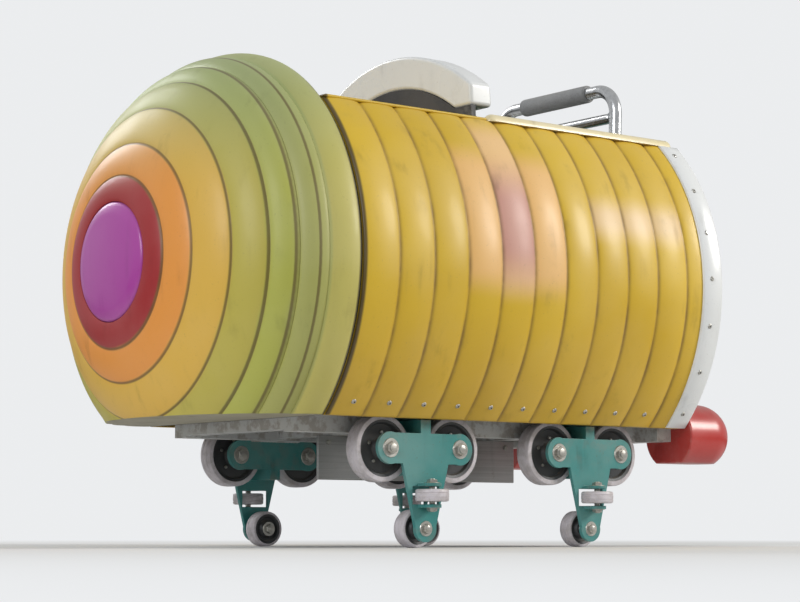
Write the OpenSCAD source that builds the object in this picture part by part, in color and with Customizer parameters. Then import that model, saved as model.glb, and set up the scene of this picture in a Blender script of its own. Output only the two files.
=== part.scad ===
// Tail car of a small children's roller coaster, shaped like the end of a striped worm.
// +X points forward to the coupling, +Y to the rider's left, +Z up.
// The origin is on the floor, under the middle of the car. Millimetres.

/* [Body] */
// Radius of the round body over the crests of its ribs
body_r = 530; // [500:5:600]
// Length of the body barrel, from the tail joint to its front edge
body_len = 1130; // [1100:10:1300]
// Height of a rib's crest over the grooves beside it
rib_depth = 10; // [4:1:14]
// Number of ribs along the body
rib_count = 11; // [8:1:14]
// Thickness of the moulded wall under the grooves
wall = 10; // [6:1:14]
// Height of the level top edge above the body's axis
edge_h = 375; // [350:5:420]
// Depth of the open underside below the body's axis
belly_h = 360; // [350:5:380]
// Radius of the half round bead along the top edge
bead_r = 20; // [12:1:24]
// Length of the entry notch in the left side
entry_len = 400; // [360:10:420]
// Distance from the entry notch to the body's front edge
entry_back = 80; // [60:5:100]
// Height of the entry sill above the floor panel
sill_h = 300; // [240:10:400]
// Corner radius of the entry notch
entry_corner_r = 70; // [40:5:100]

/* [Tail] */
// Length of the rounded tail behind the joint
tail_len = 360; // [320:5:420]
// Radius of the tail cap, as a share of the groove radius
cap_share = 0.27; // [0.22:0.01:0.31]
// Depth of the recess that holds the tail cap
cap_recess = 15; // [8:1:20]
// Thickness of the bulkhead between the tail and the body
joint_t = 8; // [6:1:14]
// Depth of the joint groove below the rib grooves
joint_depth = 4; // [2:1:8]

/* [Front] */
// Thickness of the front bulkhead
front_t = 16; // [10:1:22]
// Depth of the white rim ahead of the body's front edge
rim_t = 12; // [8:1:20]
// Height of the white rim over the ribs
rim_proud = 6; // [3:1:10]
// Reach of the white rim back over the outside of the last rib
rim_wrap = 55; // [40:5:70]
// Inward reach of the white rim from the wall's inner face
rim_lip = 10; // [5:1:15]
// Reach of the coupling tongue past the body's front edge
tongue_reach = 220; // [190:5:300]
// Diameter of the vertical pin hole in the coupling eye
eye_bore = 25; // [20:1:32]
// Outer radius of the coupling eye
eye_r = 35; // [28:1:45]
// Thickness of the coupling tongue
tongue_t = 25; // [18:1:35]
// Radius of a red front foot
foot_r = 85; // [70:1:90]
// Straight length of a red front foot behind its round toe
foot_len = 100; // [60:5:120]
// Depth of the flat sole below the middle of a foot
sole_h = 70; // [55:1:69]

/* [Seat] */
// Distance from the tail joint to the seat back at the cushion
seat_u = 545; // [535:5:560]
// Depth of the seat pan from front to back
pan_len = 320; // [290:5:330]
// Height of the seat pan above the floor panel
pan_h = 200; // [160:5:240]
// Thickness of the moulded seat shell
seat_t = 14; // [8:1:20]
// Backward lean of the seat back in degrees
back_lean = 4; // [2:0.5:6]
// Thickness of the seat cushion
cushion_t = 68; // [50:1:80]
// Thickness of the back cushion
pad_t = 55; // [40:1:65]
// Height of the seat back's arched top above the body's axis
back_top = 590; // [560:5:620]
// Gap between the seat back and the beads on both sides
back_gap = 28; // [20:1:40]
// Rise of the arched top from its corners to its middle
arch_rise = 110; // [80:5:140]
// Depth of the white headrest, from its top down to the ends of its arch
headrest_h = 165; // [140:5:180]
// Width of the headrest's arched band over the dark back
headrest_band = 85; // [65:5:110]
// Thickness of the white headrest
headrest_t = 70; // [50:1:90]

/* [Lap bar] */
// Distance from the lap bar's pivot to the body's front edge
pivot_back = 80; // [72:2:90]
// Height of the lap bar's pivot above the body's axis
pivot_h = 230; // [210:5:250]
// Length of the lap bar's arms
arm_len = 320; // [300:5:330]
// Distance between the lap bar's arms
arm_span = 470; // [430:5:480]
// Diameter of the lap bar's tube
bar_d = 33.7; // [28:0.1:38]
// Distance from the top tube to the second tube
bar_gap = 80; // [70:5:100]
// Bend radius of the lap bar's corners
bend_r = 70; // [55:5:85]
// Forward lean of the open lap bar in degrees
open_lean = 2; // [1:0.5:3]
// Diameter of the lap bar's pivot pins
pivot_d = 16; // [12:1:20]
// Length of the soft sleeve on the top tube
sleeve_len = 260; // [200:10:300]
// Wall of the soft sleeve
sleeve_t = 7; // [5:0.5:10]

/* [Chassis] */
// Distance between the middles of the two rails of the track
gauge = 620; // [600:5:640]
// Diameter of the track's round rails
rail_d = 60; // [55:1:64]
// Distance from the tail joint to the rear pair of bogies
rear_bogie_u = 310; // [290:5:340]
// Distance from the front pair of bogies to the body's front edge
front_bogie_back = 290; // [270:5:320]
// Height of the chassis side rails
beam_h = 60; // [45:1:65]
// Width of the chassis side rails and cross beams
beam_w = 50; // [40:1:60]
// Height of the body's axis above the running axles
axis_rise = 430; // [430:1:440]
// Thickness of the floor panel
floor_t = 12; // [8:1:18]
// Thickness of the brake fin
fin_t = 10; // [8:1:14]
// Height of the brake fin
fin_h = 110; // [80:5:120]
// Length of the brake fin
fin_len = 640; // [480:10:700]

/* [Wheels] */
// Diameter of a running wheel
run_d = 160; // [150:1:166]
// Width of a running wheel
run_w = 45; // [36:1:50]
// Distance between the two running wheels of a bogie
run_span = 210; // [208:1:230]
// Diameter of an upstop wheel under the rail
stop_d = 90; // [80:1:100]
// Width of an upstop wheel
stop_w = 40; // [30:1:44]
// Diameter of a guide wheel beside the rail
guide_d = 80; // [74:1:86]
// Width of a guide wheel
guide_w = 30; // [24:1:34]
// Diameter of the running axles
axle_d = 20; // [16:1:24]
// Diameter of the upstop and guide pins
pin_d = 14; // [10:1:16]
// Gap between the rail and the wheels beside and below it
rail_gap = 3; // [2:0.5:4]
// Thickness of a bogie's cheek plates
cheek_t = 10; // [8:1:12]
// Gap between the rail and the cheek plates on both sides
cheek_gap = 10; // [8:1:12]

/* [Hidden] */
$fn = 96;
fit = 0.05;
seat_gap = 0.3;
run_clear = 2.5;
part_clear = 6;

// Body
groove_r = body_r - rib_depth;
inner_r = groove_r - wall;
joint_r = groove_r - joint_depth;
rib_steps = 6;
skin_from = joint_t / 2;
rib_pitch = (body_len - skin_from) / rib_count;

// Heights, from the upstop wheels that stand on the floor
stop_z = stop_d / 2;
rail_z = stop_d + rail_gap + rail_d / 2;
axle_z = rail_z + rail_d / 2 + run_d / 2;
axis_z = axle_z + axis_rise;
edge_z = axis_z + edge_h;
belly_z = axis_z - belly_h;
beam_top = axis_z - belly_h + beam_h / 2 - 3;
beam_z = beam_top - beam_h;
floor_z = beam_top + floor_t;
back_top_z = axis_z + back_top;

// Lengths
joint_x = (tail_len - body_len - tongue_reach) / 2;
cap_r = groove_r * cap_share;
rib_gain = 1 + rib_depth / groove_r;
tail_a = (tail_len - joint_t / 2) / rib_gain;
cap_edge = tail_a * sin(acos(cap_share));
recess_u = -joint_t / 2 - cap_edge + cap_recess;
cavity_a = -recess_u - wall - joint_t / 2;

// Radii of the tail's grooves, as shares of the groove radius
tail_grooves = [1, 0.975, 0.92, 0.84, 0.71, 0.54, 0.35, cap_share];
band_steps = 5;
cap_steps = 8;

// Half widths of the round body where flat pieces meet it
edge_in = sqrt(inner_r * inner_r - edge_h * edge_h);
edge_out = sqrt(body_r * body_r - edge_h * edge_h);
bead_y = (edge_in + edge_out) / 2;
deck_t = 8;
deck_side = 4;
back_w = 2 * (bead_y - bead_r - back_gap);
floor_drop = axis_z - beam_top;
floor_half = sqrt(inner_r * inner_r - floor_drop * floor_drop) - part_clear;
front_beam_half = sqrt(pow(inner_r - rim_lip, 2) - belly_h * belly_h) - part_clear;
front_beam_u = body_len + rim_t + 2;

// Entry notch, between the seat and the front bulkhead
entry_to = body_len - entry_back;
entry_from = entry_to - entry_len;
sill_z = floor_z + sill_h;

// Seat
pan_z = floor_z + pan_h;
seat_y = inner_r - part_clear;
arch_r = (back_w * back_w / 4 + arch_rise * arch_rise) / (2 * arch_rise);
cushion_z = pan_z + seat_gap;
cushion_front = pan_len - 10;
cushion_inset = 18;
pad_side = 8;
pad_drop = 100;

// Lap bar
bar_r = bar_d / 2;
hub_r = 24;
hub_w = 40;
lug_t = 6;
lug_gap = 2;
pivot_u = body_len - pivot_back;
pivot_z = axis_z + pivot_h;
pin_over = 5;

// Bogies
bogie_us = [rear_bogie_u, body_len - front_bogie_back];
rail_y = gauge / 2;
cheek_y = rail_y + rail_d / 2 + cheek_gap;
inner_cheek_in = rail_y - rail_d / 2 - cheek_gap;
inner_cheek_y = inner_cheek_in - cheek_t;
beam_span = 2 * inner_cheek_y - beam_w;
guide_y = rail_y + rail_d / 2 + rail_gap + guide_d / 2;
boss_r = 38;
boss_flat = 36;
foot_plate_r = 32;
leg_top_half = 78;
leg_foot_half = 30;
cheek_top_half = 75;
window_half = 40;
shelf_t = 8;
shelf_half = 24;
shelf_end_r = 22;
bridge_half = 15;
washer_r = 15;
nut_t = 9;
nut_r = 16;

ENDS = ["rear", "front"];
SIDES = ["left", "right"];

// Swell of a rib between two grooves, from 0 to 1 and back
function swell(t) = sqrt(sin(180 * t));

// Points of the ribbed skin of the barrel, as radius and distance ahead of the joint
// The last rib stays at its crest, as the land that the front rim wraps
function barrel_skin() = [for (i = [0 : rib_count - 1])
    for (k = [0 : i == rib_count - 1 ? rib_steps / 2 : rib_steps - 1])
    let (t = k / rib_steps) [groove_r + rib_depth * swell(t), skin_from + (i + t) * rib_pitch]];

// Points of one band of the tail's skin between two grooves
function tail_band(f0, f1) = [for (k = [0 : band_steps - 1])
    let (t = k / band_steps, a = acos(f0) + (acos(f1) - acos(f0)) * t)
    let (gain = 1 + rib_depth / groove_r * swell(t))
    [groove_r * cos(a) * gain, -joint_t / 2 - tail_a * sin(a) * gain]];

function tail_skin() = [for (i = [0 : len(tail_grooves) - 2])
    each tail_band(tail_grooves[i], tail_grooves[i + 1])];

// Solid turned about the body's axis, from points of radius and distance ahead of the joint
module turned(points) {
    translate([joint_x, 0, axis_z])
        rotate([0, 90, 0])
            rotate_extrude()
                polygon(points);
}

// Block between two distances ahead of the joint, two widths and two heights
module block(u0, u1, y0, y1, z0, z1) {
    translate([joint_x + u0, y0, z0])
        cube([u1 - u0, y1 - y0, z1 - z0]);
}

// Everything below a height, for cutting
module below(z) {
    block(-2 * tail_len, 2 * body_len, -2 * body_r, 2 * body_r, z - 4 * body_r, z);
}

// Everything above a height, for cutting
module above(z) {
    block(-2 * tail_len, 2 * body_len, -2 * body_r, 2 * body_r, z, z + 4 * body_r);
}

// Round bar across the car
module cross_bar(u, y0, y1, z, r) {
    translate([joint_x + u, y1, z])
        rotate([90, 0, 0])
            cylinder(h = y1 - y0, r = r);
}

// Round body along the car
module round_prism(u0, u1, r) {
    translate([joint_x + u0, 0, axis_z])
        rotate([0, 90, 0])
            cylinder(h = u1 - u0, r = r);
}

// Ribbed barrel, open above, below and at its front
module body_shell() {
    color("goldenrod")
        difference() {
            turned(concat(barrel_skin(), [[body_r, body_len], [inner_r, body_len], [inner_r, skin_from]]));
            above(edge_z);
            below(belly_z);
            entry_notch();
        }
}

// Notch in the left side that riders step through
module entry_notch() {
    r = entry_corner_r;
    block(entry_from, entry_to, 0, 2 * body_r, sill_z + r, edge_z + body_r);
    block(entry_from + r, entry_to - r, 0, 2 * body_r, sill_z, edge_z);
    for (u = [entry_from + r, entry_to - r])
        cross_bar(u, 0, 2 * body_r, sill_z + r, r);
}

// Rounded tail with ring ribs, closed below
module tail_dome() {
    color("yellowgreen")
        difference() {
            turned(concat(tail_skin(), [
                [cap_r + seat_gap, -joint_t / 2 - cap_edge],
                [cap_r + seat_gap, recess_u],
                [0, recess_u],
                [0, -joint_t / 2]]));
            below(belly_z);
            difference() {
                turned(concat([for (a = [0 : 9 : 90])
                    [inner_r * cos(a), -joint_t / 2 - cavity_a * sin(a)]], [[0, -joint_t / 2]]));
                below(belly_z + wall);
            }
        }
}

// Purple cap in the recess at the middle of the tail
module tail_cap() {
    edge_a = acos(cap_share);
    color("purple")
        turned(concat([for (k = [0 : cap_steps])
            let (a = edge_a + (90 - edge_a) * k / cap_steps, gain = k == 0 ? 1 : rib_gain)
            [k == cap_steps ? 0 : groove_r * cos(a), -joint_t / 2 - tail_a * sin(a) * gain]],
            [[0, recess_u], [cap_r, recess_u]]));
}

// Disc that joins the tail to the body and shows as the dark joint groove
module tail_bulkhead() {
    color("dimgray")
        difference() {
            round_prism(-joint_t / 2, joint_t / 2, joint_r);
            below(belly_z);
        }
}

// Level deck behind the seat
module rear_deck() {
    deck_to = seat_u - tan(back_lean) * (edge_z + deck_t - pan_z) - seat_t - 1;
    color("gold")
        block(joint_t / 2, deck_to, -edge_out + deck_side, edge_out - deck_side, edge_z, edge_z + deck_t);
}

// Teal wall ahead of the riders' feet
module front_bulkhead() {
    color("teal")
        difference() {
            round_prism(body_len - front_t, body_len, inner_r - seat_gap);
            above(edge_z);
            below(beam_top);
        }
}

// White rim that wraps the body's front edge
module front_rim() {
    color("white")
        difference() {
            round_prism(body_len - rim_wrap, body_len + rim_t, body_r + rim_proud);
            round_prism(body_len - rim_wrap - 1, body_len, body_r + fit);
            round_prism(body_len - 1, body_len + rim_t + 1, inner_r - rim_lip);
            above(edge_z);
            below(belly_z);
        }
}

// Half round bead along one stretch of the top edge
module bead(u0, u1, side) {
    difference() {
        translate([joint_x + u0, side * bead_y, edge_z])
            rotate([0, 90, 0])
                cylinder(h = u1 - u0, r = bead_r);
        below(edge_z);
    }
}

// Beads on the open part of both top edges, with a gap at the entry notch
module top_bead() {
    bead_from = seat_u - tan(back_lean) * (edge_z + deck_t - pan_z) - seat_t;
    color("khaki") {
        bead(bead_from, body_len, -1);
        bead(bead_from, entry_from, 1);
        bead(entry_to, body_len, 1);
    }
}

// Leaning slab behind the riders: its front face runs through the back of the seat pan
module back_slab(front, thick, z0, z1) {
    translate([joint_x + seat_u, 0, pan_z])
        rotate([0, -back_lean, 0])
            translate([front - thick, -body_r, z0 - pan_z])
                cube([thick, 2 * body_r, z1 - z0]);
}

// Outline of the seat across the car, made long enough to trim what leans
module seat_outline(side_gap) {
    round_prism(0, body_len, seat_y - side_gap);
    intersection() {
        block(0, body_len, -back_w / 2 + side_gap, back_w / 2 - side_gap, axis_z, back_top_z);
        translate([joint_x, 0, back_top_z - arch_r])
            rotate([0, 90, 0])
                cylinder(h = body_len, r = arch_r - side_gap);
    }
}

// Part of the round body below the top edge, joined to the narrow back above it
module seat_space(side_gap) {
    difference() {
        seat_outline(side_gap);
        difference() {
            above(edge_z - 2 * bead_r);
            block(0, body_len, -back_w / 2 + side_gap, back_w / 2 - side_gap, axis_z, back_top_z);
        }
    }
}

// Space under the headrest: below the ends of its arch and inside the arch
module under_headrest(gap) {
    below(back_top_z - headrest_h - gap);
    translate([joint_x, 0, back_top_z - arch_r])
        rotate([0, 90, 0])
            cylinder(h = body_len, r = arch_r - headrest_band - gap);
}

// Moulded seat: back, pan and front riser in one
module seat_shell() {
    color("darkslategray")
        intersection() {
            difference() {
                seat_space(0);
                below(floor_z);
            }
            union() {
                intersection() {
                    back_slab(0, seat_t, floor_z, back_top_z);
                    under_headrest(0);
                }
                block(seat_u - seat_t, seat_u + pan_len, -body_r, body_r, pan_z - seat_t, pan_z);
                block(seat_u + pan_len - seat_t, seat_u + pan_len, -body_r, body_r, floor_z, pan_z);
            }
        }
}

// White arched headrest that stands on the seat back
module headrest() {
    color("white")
        difference() {
            intersection() {
                seat_space(0);
                back_slab(headrest_t - seat_t, headrest_t, axis_z, back_top_z + body_r);
            }
            under_headrest(0);
        }
}

// Bench cushion on the seat pan
module seat_cushion() {
    color("black")
        intersection() {
            round_prism(0, body_len, seat_y - cushion_inset);
            block(seat_u + pad_t + 4, seat_u + cushion_front, -body_r, body_r,
                cushion_z, pan_z + cushion_t);
        }
}

// Back cushion on the seat back, up into the headrest's arch
module back_cushion() {
    color("black")
        intersection() {
            seat_space(cushion_inset);
            back_slab(pad_t + seat_gap, pad_t, pan_z + 8, back_top_z);
            under_headrest(seat_gap);
        }
}

// Quarter bend of the lap bar's tube, from an arm into the top tube
module bar_bend(side) {
    translate([0, side * (arm_span / 2 - bend_r), arm_len - bend_r])
        rotate([90, 0, 90])
            mirror([side > 0 ? 0 : 1, 0, 0])
                rotate_extrude(angle = 90)
                    translate([bend_r, 0])
                        circle(r = bar_r);
}

// Lap bar's own frame: the pivot is the origin, and +Z runs along the open arms
module lap_frame() {
    translate([joint_x + pivot_u, 0, pivot_z])
        rotate([0, open_lean, 0])
            children();
}

// Round tube across the lap bar's own frame
module lap_tube(y0, y1, z, r) {
    translate([0, y1, z])
        rotate([90, 0, 0])
            cylinder(h = y1 - y0, r = r);
}

// Lap bar: two arms on hubs, bent into the top tube, with a second tube below it
module lap_bar() {
    color("silver")
        lap_frame()
            difference() {
                union() {
                    for (side = [-1, 1]) {
                        translate([0, side * arm_span / 2, 0])
                            cylinder(h = arm_len - bend_r, r = bar_r);
                        bar_bend(side);
                        lap_tube(side * arm_span / 2 - hub_w / 2, side * arm_span / 2 + hub_w / 2, 0, hub_r);
                    }
                    lap_tube(-arm_span / 2 + bend_r, arm_span / 2 - bend_r, arm_len, bar_r);
                    lap_tube(-arm_span / 2, arm_span / 2, arm_len - bar_gap, bar_r - 3);
                }
                lap_tube(-body_r, body_r, 0, pivot_d / 2 + fit);
            }
}

// Soft sleeve on the top tube
module lap_bar_sleeve() {
    color("gray")
        lap_frame()
            difference() {
                lap_tube(-sleeve_len / 2, sleeve_len / 2, arm_len, bar_r + sleeve_t);
                lap_tube(-sleeve_len, sleeve_len, arm_len, bar_r + seat_gap);
            }
}

// Brackets with pivot pins, standing on the front bulkhead
module lap_bar_brackets() {
    lug_in = hub_w / 2 + lug_gap;
    color("slategray")
        for (side = [-1, 1])
            translate([0, side * arm_span / 2, 0]) {
                for (y = [-lug_in - lug_t, lug_in]) {
                    block(pivot_u, body_len - front_t, y, y + lug_t, pivot_z - hub_r, pivot_z + hub_r);
                    cross_bar(pivot_u, y, y + lug_t, pivot_z, hub_r);
                }
                block(body_len - front_t - lug_t, body_len - front_t, -lug_in - lug_t - 12,
                    lug_in + lug_t + 12, pivot_z - hub_r - 14, pivot_z + hub_r + 14);
                cross_bar(pivot_u, -lug_in - lug_t - pin_over, lug_in + lug_t + pin_over, pivot_z, pivot_d / 2);
            }
}

// Red moulded foot with a round toe and a flat sole, on the end of the front beam
module foot(side) {
    foot_y = front_beam_half - 10;
    color("firebrick")
        difference() {
            translate([joint_x + front_beam_u, side * foot_y, belly_z - 18])
                union() {
                    rotate([0, 90, 0])
                        cylinder(h = foot_len, r = foot_r);
                    translate([foot_len, 0, 0])
                        sphere(r = foot_r);
                }
            block(-tail_len, front_beam_u, -body_r, body_r, 0, axis_z);
            below(belly_z - 18 - sole_h);
        }
}

// Chassis of box section: two side rails, cross beams and the front beam
module chassis_frame() {
    rail_to = front_beam_u - beam_w;
    color("lightgray")
        union() {
            for (side = [-1, 1])
                block(joint_t / 2, rail_to + 1, side * beam_span / 2 - beam_w / 2,
                    side * beam_span / 2 + beam_w / 2, beam_z, beam_top);
            for (u = concat([joint_t / 2 + beam_w / 2], bogie_us, [(bogie_us[0] + bogie_us[1]) / 2]))
                block(u - beam_w / 2, u + beam_w / 2, -beam_span / 2, beam_span / 2,
                    beam_z + 6, beam_top - 2);
            block(rail_to, front_beam_u, -front_beam_half, front_beam_half, beam_z, beam_top);
        }
}

// Coupling tongue with a vertical pin hole
module coupling_tongue() {
    tongue_z = beam_z + (beam_h - tongue_t) / 2;
    eye_u = body_len + tongue_reach - eye_r;
    color("slategray")
        difference() {
            union() {
                block(front_beam_u, eye_u, -eye_r + 4, eye_r - 4, tongue_z, tongue_z + tongue_t);
                block(front_beam_u, front_beam_u + 12, -eye_r - 20, eye_r + 20, beam_z + 4, beam_top - 4);
                translate([joint_x + eye_u, 0, tongue_z])
                    cylinder(h = tongue_t, r = eye_r);
            }
            translate([joint_x + eye_u, 0, tongue_z - 1])
                cylinder(h = tongue_t + 2, d = eye_bore);
        }
}

// Brake fin that hangs under the cross beams
module brake_fin() {
    fin_u = (bogie_us[0] + bogie_us[1]) / 2;
    fin_top = beam_z + 6;
    color("darkgray")
        block(fin_u - fin_len / 2, fin_u + fin_len / 2, -fin_t / 2, fin_t / 2, fin_top - fin_h, fin_top);
}

// Floor panel on the chassis
module floor_panel() {
    color("dimgray")
        block(joint_t / 2 + 2, body_len - front_t - 2, -floor_half, floor_half, beam_top, floor_z);
}

// Place of a bogie: its own +Y points outward on both sides of the car
module at_bogie(end, side) {
    translate([joint_x + bogie_us[end], 0, 0])
        mirror([0, side == 0 ? 0 : 1, 0])
            children();
}

// Outline drawn in X and Z, made a plate between two widths
module plate(y0, y1) {
    translate([0, y1, 0])
        rotate([90, 0, 0])
            linear_extrude(y1 - y0)
                children();
}

// Round bar across a bogie
module bogie_bar(x, y0, y1, z, r) {
    translate([x, y1, z])
        rotate([90, 0, 0])
            cylinder(h = y1 - y0, r = r);
}

// Two round bosses at the running axles and the flat between them
module boss_outline() {
    for (x = [-run_span / 2, run_span / 2])
        translate([x, axle_z])
            circle(r = boss_r);
    translate([-run_span / 2, axle_z - boss_flat])
        square([run_span, 2 * boss_flat]);
}

// Bogie frame: inner and outer cheek, the bridge between the wheels and the guide wheel's shelves
module bogie(end, side) {
    shelf_low = rail_z - guide_w / 2 - part_clear;
    shelf_high = rail_z + guide_w / 2 + part_clear;
    color("teal")
        at_bogie(end, side)
            difference() {
                union() {
                    plate(inner_cheek_y, inner_cheek_in) {
                        boss_outline();
                        polygon([[-cheek_top_half - 40, axle_z], [cheek_top_half + 40, axle_z],
                            [cheek_top_half, beam_top], [-cheek_top_half, beam_top]]);
                    }
                    plate(cheek_y, cheek_y + cheek_t) {
                        boss_outline();
                        polygon([[-leg_top_half, axle_z], [leg_top_half, axle_z],
                            [leg_foot_half, stop_z], [-leg_foot_half, stop_z]]);
                        translate([0, stop_z])
                            circle(r = foot_plate_r);
                    }
                    translate([-bridge_half, inner_cheek_y, rail_z + rail_d / 2 + 3 * part_clear])
                        cube([2 * bridge_half, cheek_y + cheek_t - inner_cheek_y, axle_z + 50 - rail_z - rail_d / 2]);
                    for (z = [shelf_low - shelf_t, shelf_high]) {
                        translate([-shelf_half, cheek_y + 1, z])
                            cube([2 * shelf_half, guide_y - cheek_y - 1, shelf_t]);
                        translate([0, guide_y, z])
                            cylinder(h = shelf_t, r = shelf_end_r);
                    }
                }
                translate([-window_half, cheek_y - 1, shelf_low])
                    cube([2 * window_half, cheek_t + 2, shelf_high - shelf_low]);
                for (x = [-run_span / 2, run_span / 2])
                    bogie_bar(x, inner_cheek_y - 1, cheek_y + cheek_t + 1, axle_z, axle_d / 2 + fit);
                bogie_bar(0, cheek_y - 1, cheek_y + cheek_t + 1, stop_z, pin_d / 2 + fit);
                translate([0, guide_y, stop_z])
                    cylinder(h = axle_z, r = pin_d / 2 + fit);
            }
}

// Axles and pins of one bogie, with their washers and nuts
module bogie_pins(end, side) {
    out_y = cheek_y + cheek_t;
    shelf_top = rail_z + guide_w / 2 + part_clear + shelf_t;
    shelf_bottom = rail_z - guide_w / 2 - part_clear - shelf_t;
    color("silver")
        at_bogie(end, side) {
            for (x = [-run_span / 2, run_span / 2]) {
                bogie_bar(x, inner_cheek_y - nut_t, out_y + nut_t, axle_z, axle_d / 2);
                bogie_bar(x, out_y, out_y + nut_t, axle_z, nut_r);
                bogie_bar(x, inner_cheek_y - nut_t, inner_cheek_y, axle_z, nut_r);
                bogie_bar(x, inner_cheek_in, rail_y - run_w / 2 - run_clear, axle_z, washer_r);
                bogie_bar(x, rail_y + run_w / 2 + run_clear, cheek_y, axle_z, washer_r);
            }
            bogie_bar(0, rail_y - stop_w / 2 - run_clear - nut_t, out_y + nut_t, stop_z, pin_d / 2);
            bogie_bar(0, out_y, out_y + nut_t, stop_z, nut_r - 3);
            bogie_bar(0, rail_y + stop_w / 2 + run_clear, cheek_y, stop_z, nut_r - 3);
            bogie_bar(0, rail_y - stop_w / 2 - run_clear - nut_t, rail_y - stop_w / 2 - run_clear,
                stop_z, nut_r - 3);
            translate([0, guide_y, shelf_bottom - nut_t])
                cylinder(h = shelf_top - shelf_bottom + 2 * nut_t, r = pin_d / 2);
            for (z = [shelf_bottom - nut_t, shelf_top])
                translate([0, guide_y, z])
                    cylinder(h = nut_t, r = nut_r - 3);
        }
}

// Wheel turned about its own axis: tread with eased shoulders, rim, recessed web, hub and bore
module wheel(d, w, bore_r) {
    r = d / 2;
    ease = 3;
    tread = 0.15 * r;
    web_r = r - tread - 0.14 * r;
    hub = bore_r + 12;
    web = w * 0.22;
    rotate_extrude()
        polygon([[bore_r, -w / 2], [hub, -w / 2], [hub, -web], [web_r, -web], [web_r, -w / 2 + 2],
            [r - ease, -w / 2], [r, -w / 2 + ease], [r, w / 2 - ease], [r - ease, w / 2],
            [web_r, w / 2 - 2], [web_r, web], [hub, web], [hub, w / 2], [bore_r, w / 2]]);
}

// Running wheel on top of the rail
module run_wheel(end, side, place) {
    color("lavender")
        at_bogie(end, side)
            translate([(place - 0.5) * run_span, rail_y, axle_z])
                rotate([90, 0, 0])
                    wheel(run_d, run_w, axle_d / 2 + fit);
}

// Upstop wheel under the rail, on which the car stands off its track
module stop_wheel(end, side) {
    color("lavender")
        at_bogie(end, side)
            translate([0, rail_y, stop_z])
                rotate([90, 0, 0])
                    wheel(stop_d, stop_w, pin_d / 2 + fit);
}

// Guide wheel beside the rail
module guide_wheel(end, side) {
    color("lavender")
        at_bogie(end, side)
            translate([0, guide_y, rail_z])
                wheel(guide_d, guide_w, pin_d / 2 + fit);
}

chassis_frame();
coupling_tongue();
brake_fin();
floor_panel();
body_shell();
tail_dome();
tail_cap();
tail_bulkhead();
rear_deck();
front_bulkhead();
front_rim();
top_bead();
seat_shell();
headrest();
seat_cushion();
back_cushion();
lap_bar();
lap_bar_sleeve();
lap_bar_brackets();
foot(1);  // foot_left
foot(-1);  // foot_right
for (end = [0, 1]) for (side = [0, 1]) {
    place = str(ENDS[end], "_", SIDES[side]);
    bogie(end, side);
    bogie_pins(end, side);
    run_wheel(end, side, 0);
    run_wheel(end, side, 1);
    stop_wheel(end, side);
    guide_wheel(end, side);
}
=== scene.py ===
# %% [markdown]
# # The tail car of a small worm-shaped roller coaster
# The car is a ribbed yellow barrel with a striped round tail, a bench seat under a white headrest, a
# lap bar, and a steel chassis on four bogies that hold round rails from above, outside and below.
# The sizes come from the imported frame, and this lesson gives every piece its shape and its finish.

# %% Load the frame
import math

import bmesh
import bpy
from mathutils import Matrix, Vector


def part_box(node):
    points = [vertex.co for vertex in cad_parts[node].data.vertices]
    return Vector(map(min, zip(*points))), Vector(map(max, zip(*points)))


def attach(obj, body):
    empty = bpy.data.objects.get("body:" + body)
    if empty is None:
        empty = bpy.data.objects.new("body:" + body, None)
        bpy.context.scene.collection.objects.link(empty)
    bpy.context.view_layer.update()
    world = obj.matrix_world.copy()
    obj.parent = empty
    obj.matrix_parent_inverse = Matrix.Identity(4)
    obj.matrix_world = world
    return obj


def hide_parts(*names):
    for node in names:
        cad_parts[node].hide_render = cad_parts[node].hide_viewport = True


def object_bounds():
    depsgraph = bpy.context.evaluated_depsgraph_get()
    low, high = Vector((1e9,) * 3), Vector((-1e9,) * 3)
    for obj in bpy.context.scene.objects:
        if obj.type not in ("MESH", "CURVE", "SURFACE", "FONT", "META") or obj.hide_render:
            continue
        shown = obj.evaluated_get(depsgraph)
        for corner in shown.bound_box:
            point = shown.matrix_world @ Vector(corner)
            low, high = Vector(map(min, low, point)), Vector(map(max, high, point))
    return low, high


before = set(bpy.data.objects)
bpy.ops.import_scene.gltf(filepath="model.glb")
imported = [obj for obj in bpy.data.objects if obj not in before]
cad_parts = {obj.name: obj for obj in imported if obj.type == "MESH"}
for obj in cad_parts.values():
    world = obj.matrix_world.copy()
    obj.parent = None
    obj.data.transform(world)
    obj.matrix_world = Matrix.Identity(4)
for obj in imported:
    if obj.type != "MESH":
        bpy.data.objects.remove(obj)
cad_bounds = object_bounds()

# %% [markdown]
# ## Measures
# A dressed piece has to sit exactly where the solid sits, so its sizes are read from the solids' boxes.
# The round body is turned about one long axis. The dark disc at the joint of tail and body gives that
# axis: the height of its top less half its width.

# %% Read the main measures
joint_low, joint_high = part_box("tail_bulkhead")
shell_low, shell_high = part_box("body_shell")
JOINT_X = (joint_low.x + joint_high.x) / 2
JOINT_T = joint_high.x - joint_low.x
AXIS_Z = joint_high.z - joint_high.y
BODY_R = -shell_low.y
RIB_DEPTH = 0.010
RIB_COUNT = 11
WALL_T = 0.010
GROOVE_R = BODY_R - RIB_DEPTH
INNER_R = GROOVE_R - WALL_T
BODY_BACK = shell_low.x
BODY_FRONT = shell_high.x
RIB_PITCH = (BODY_FRONT - BODY_BACK) / RIB_COUNT
EDGE_Z = shell_high.z
BELLY_Z = shell_low.z
FLOOR_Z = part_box("floor_panel")[1].z
print(f"axis {AXIS_Z:.3f} m up, body radius {BODY_R:.3f} m, barrel {BODY_BACK:.3f} to {BODY_FRONT:.3f} m")

# %% [markdown]
# ## From a bmesh to a piece
# Every piece ends the same way: its faces turn outwards, the mesh becomes an object at the origin, the
# round faces are shaded smooth, and the piece is tied to the body that carries it. One helper does it.

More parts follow.
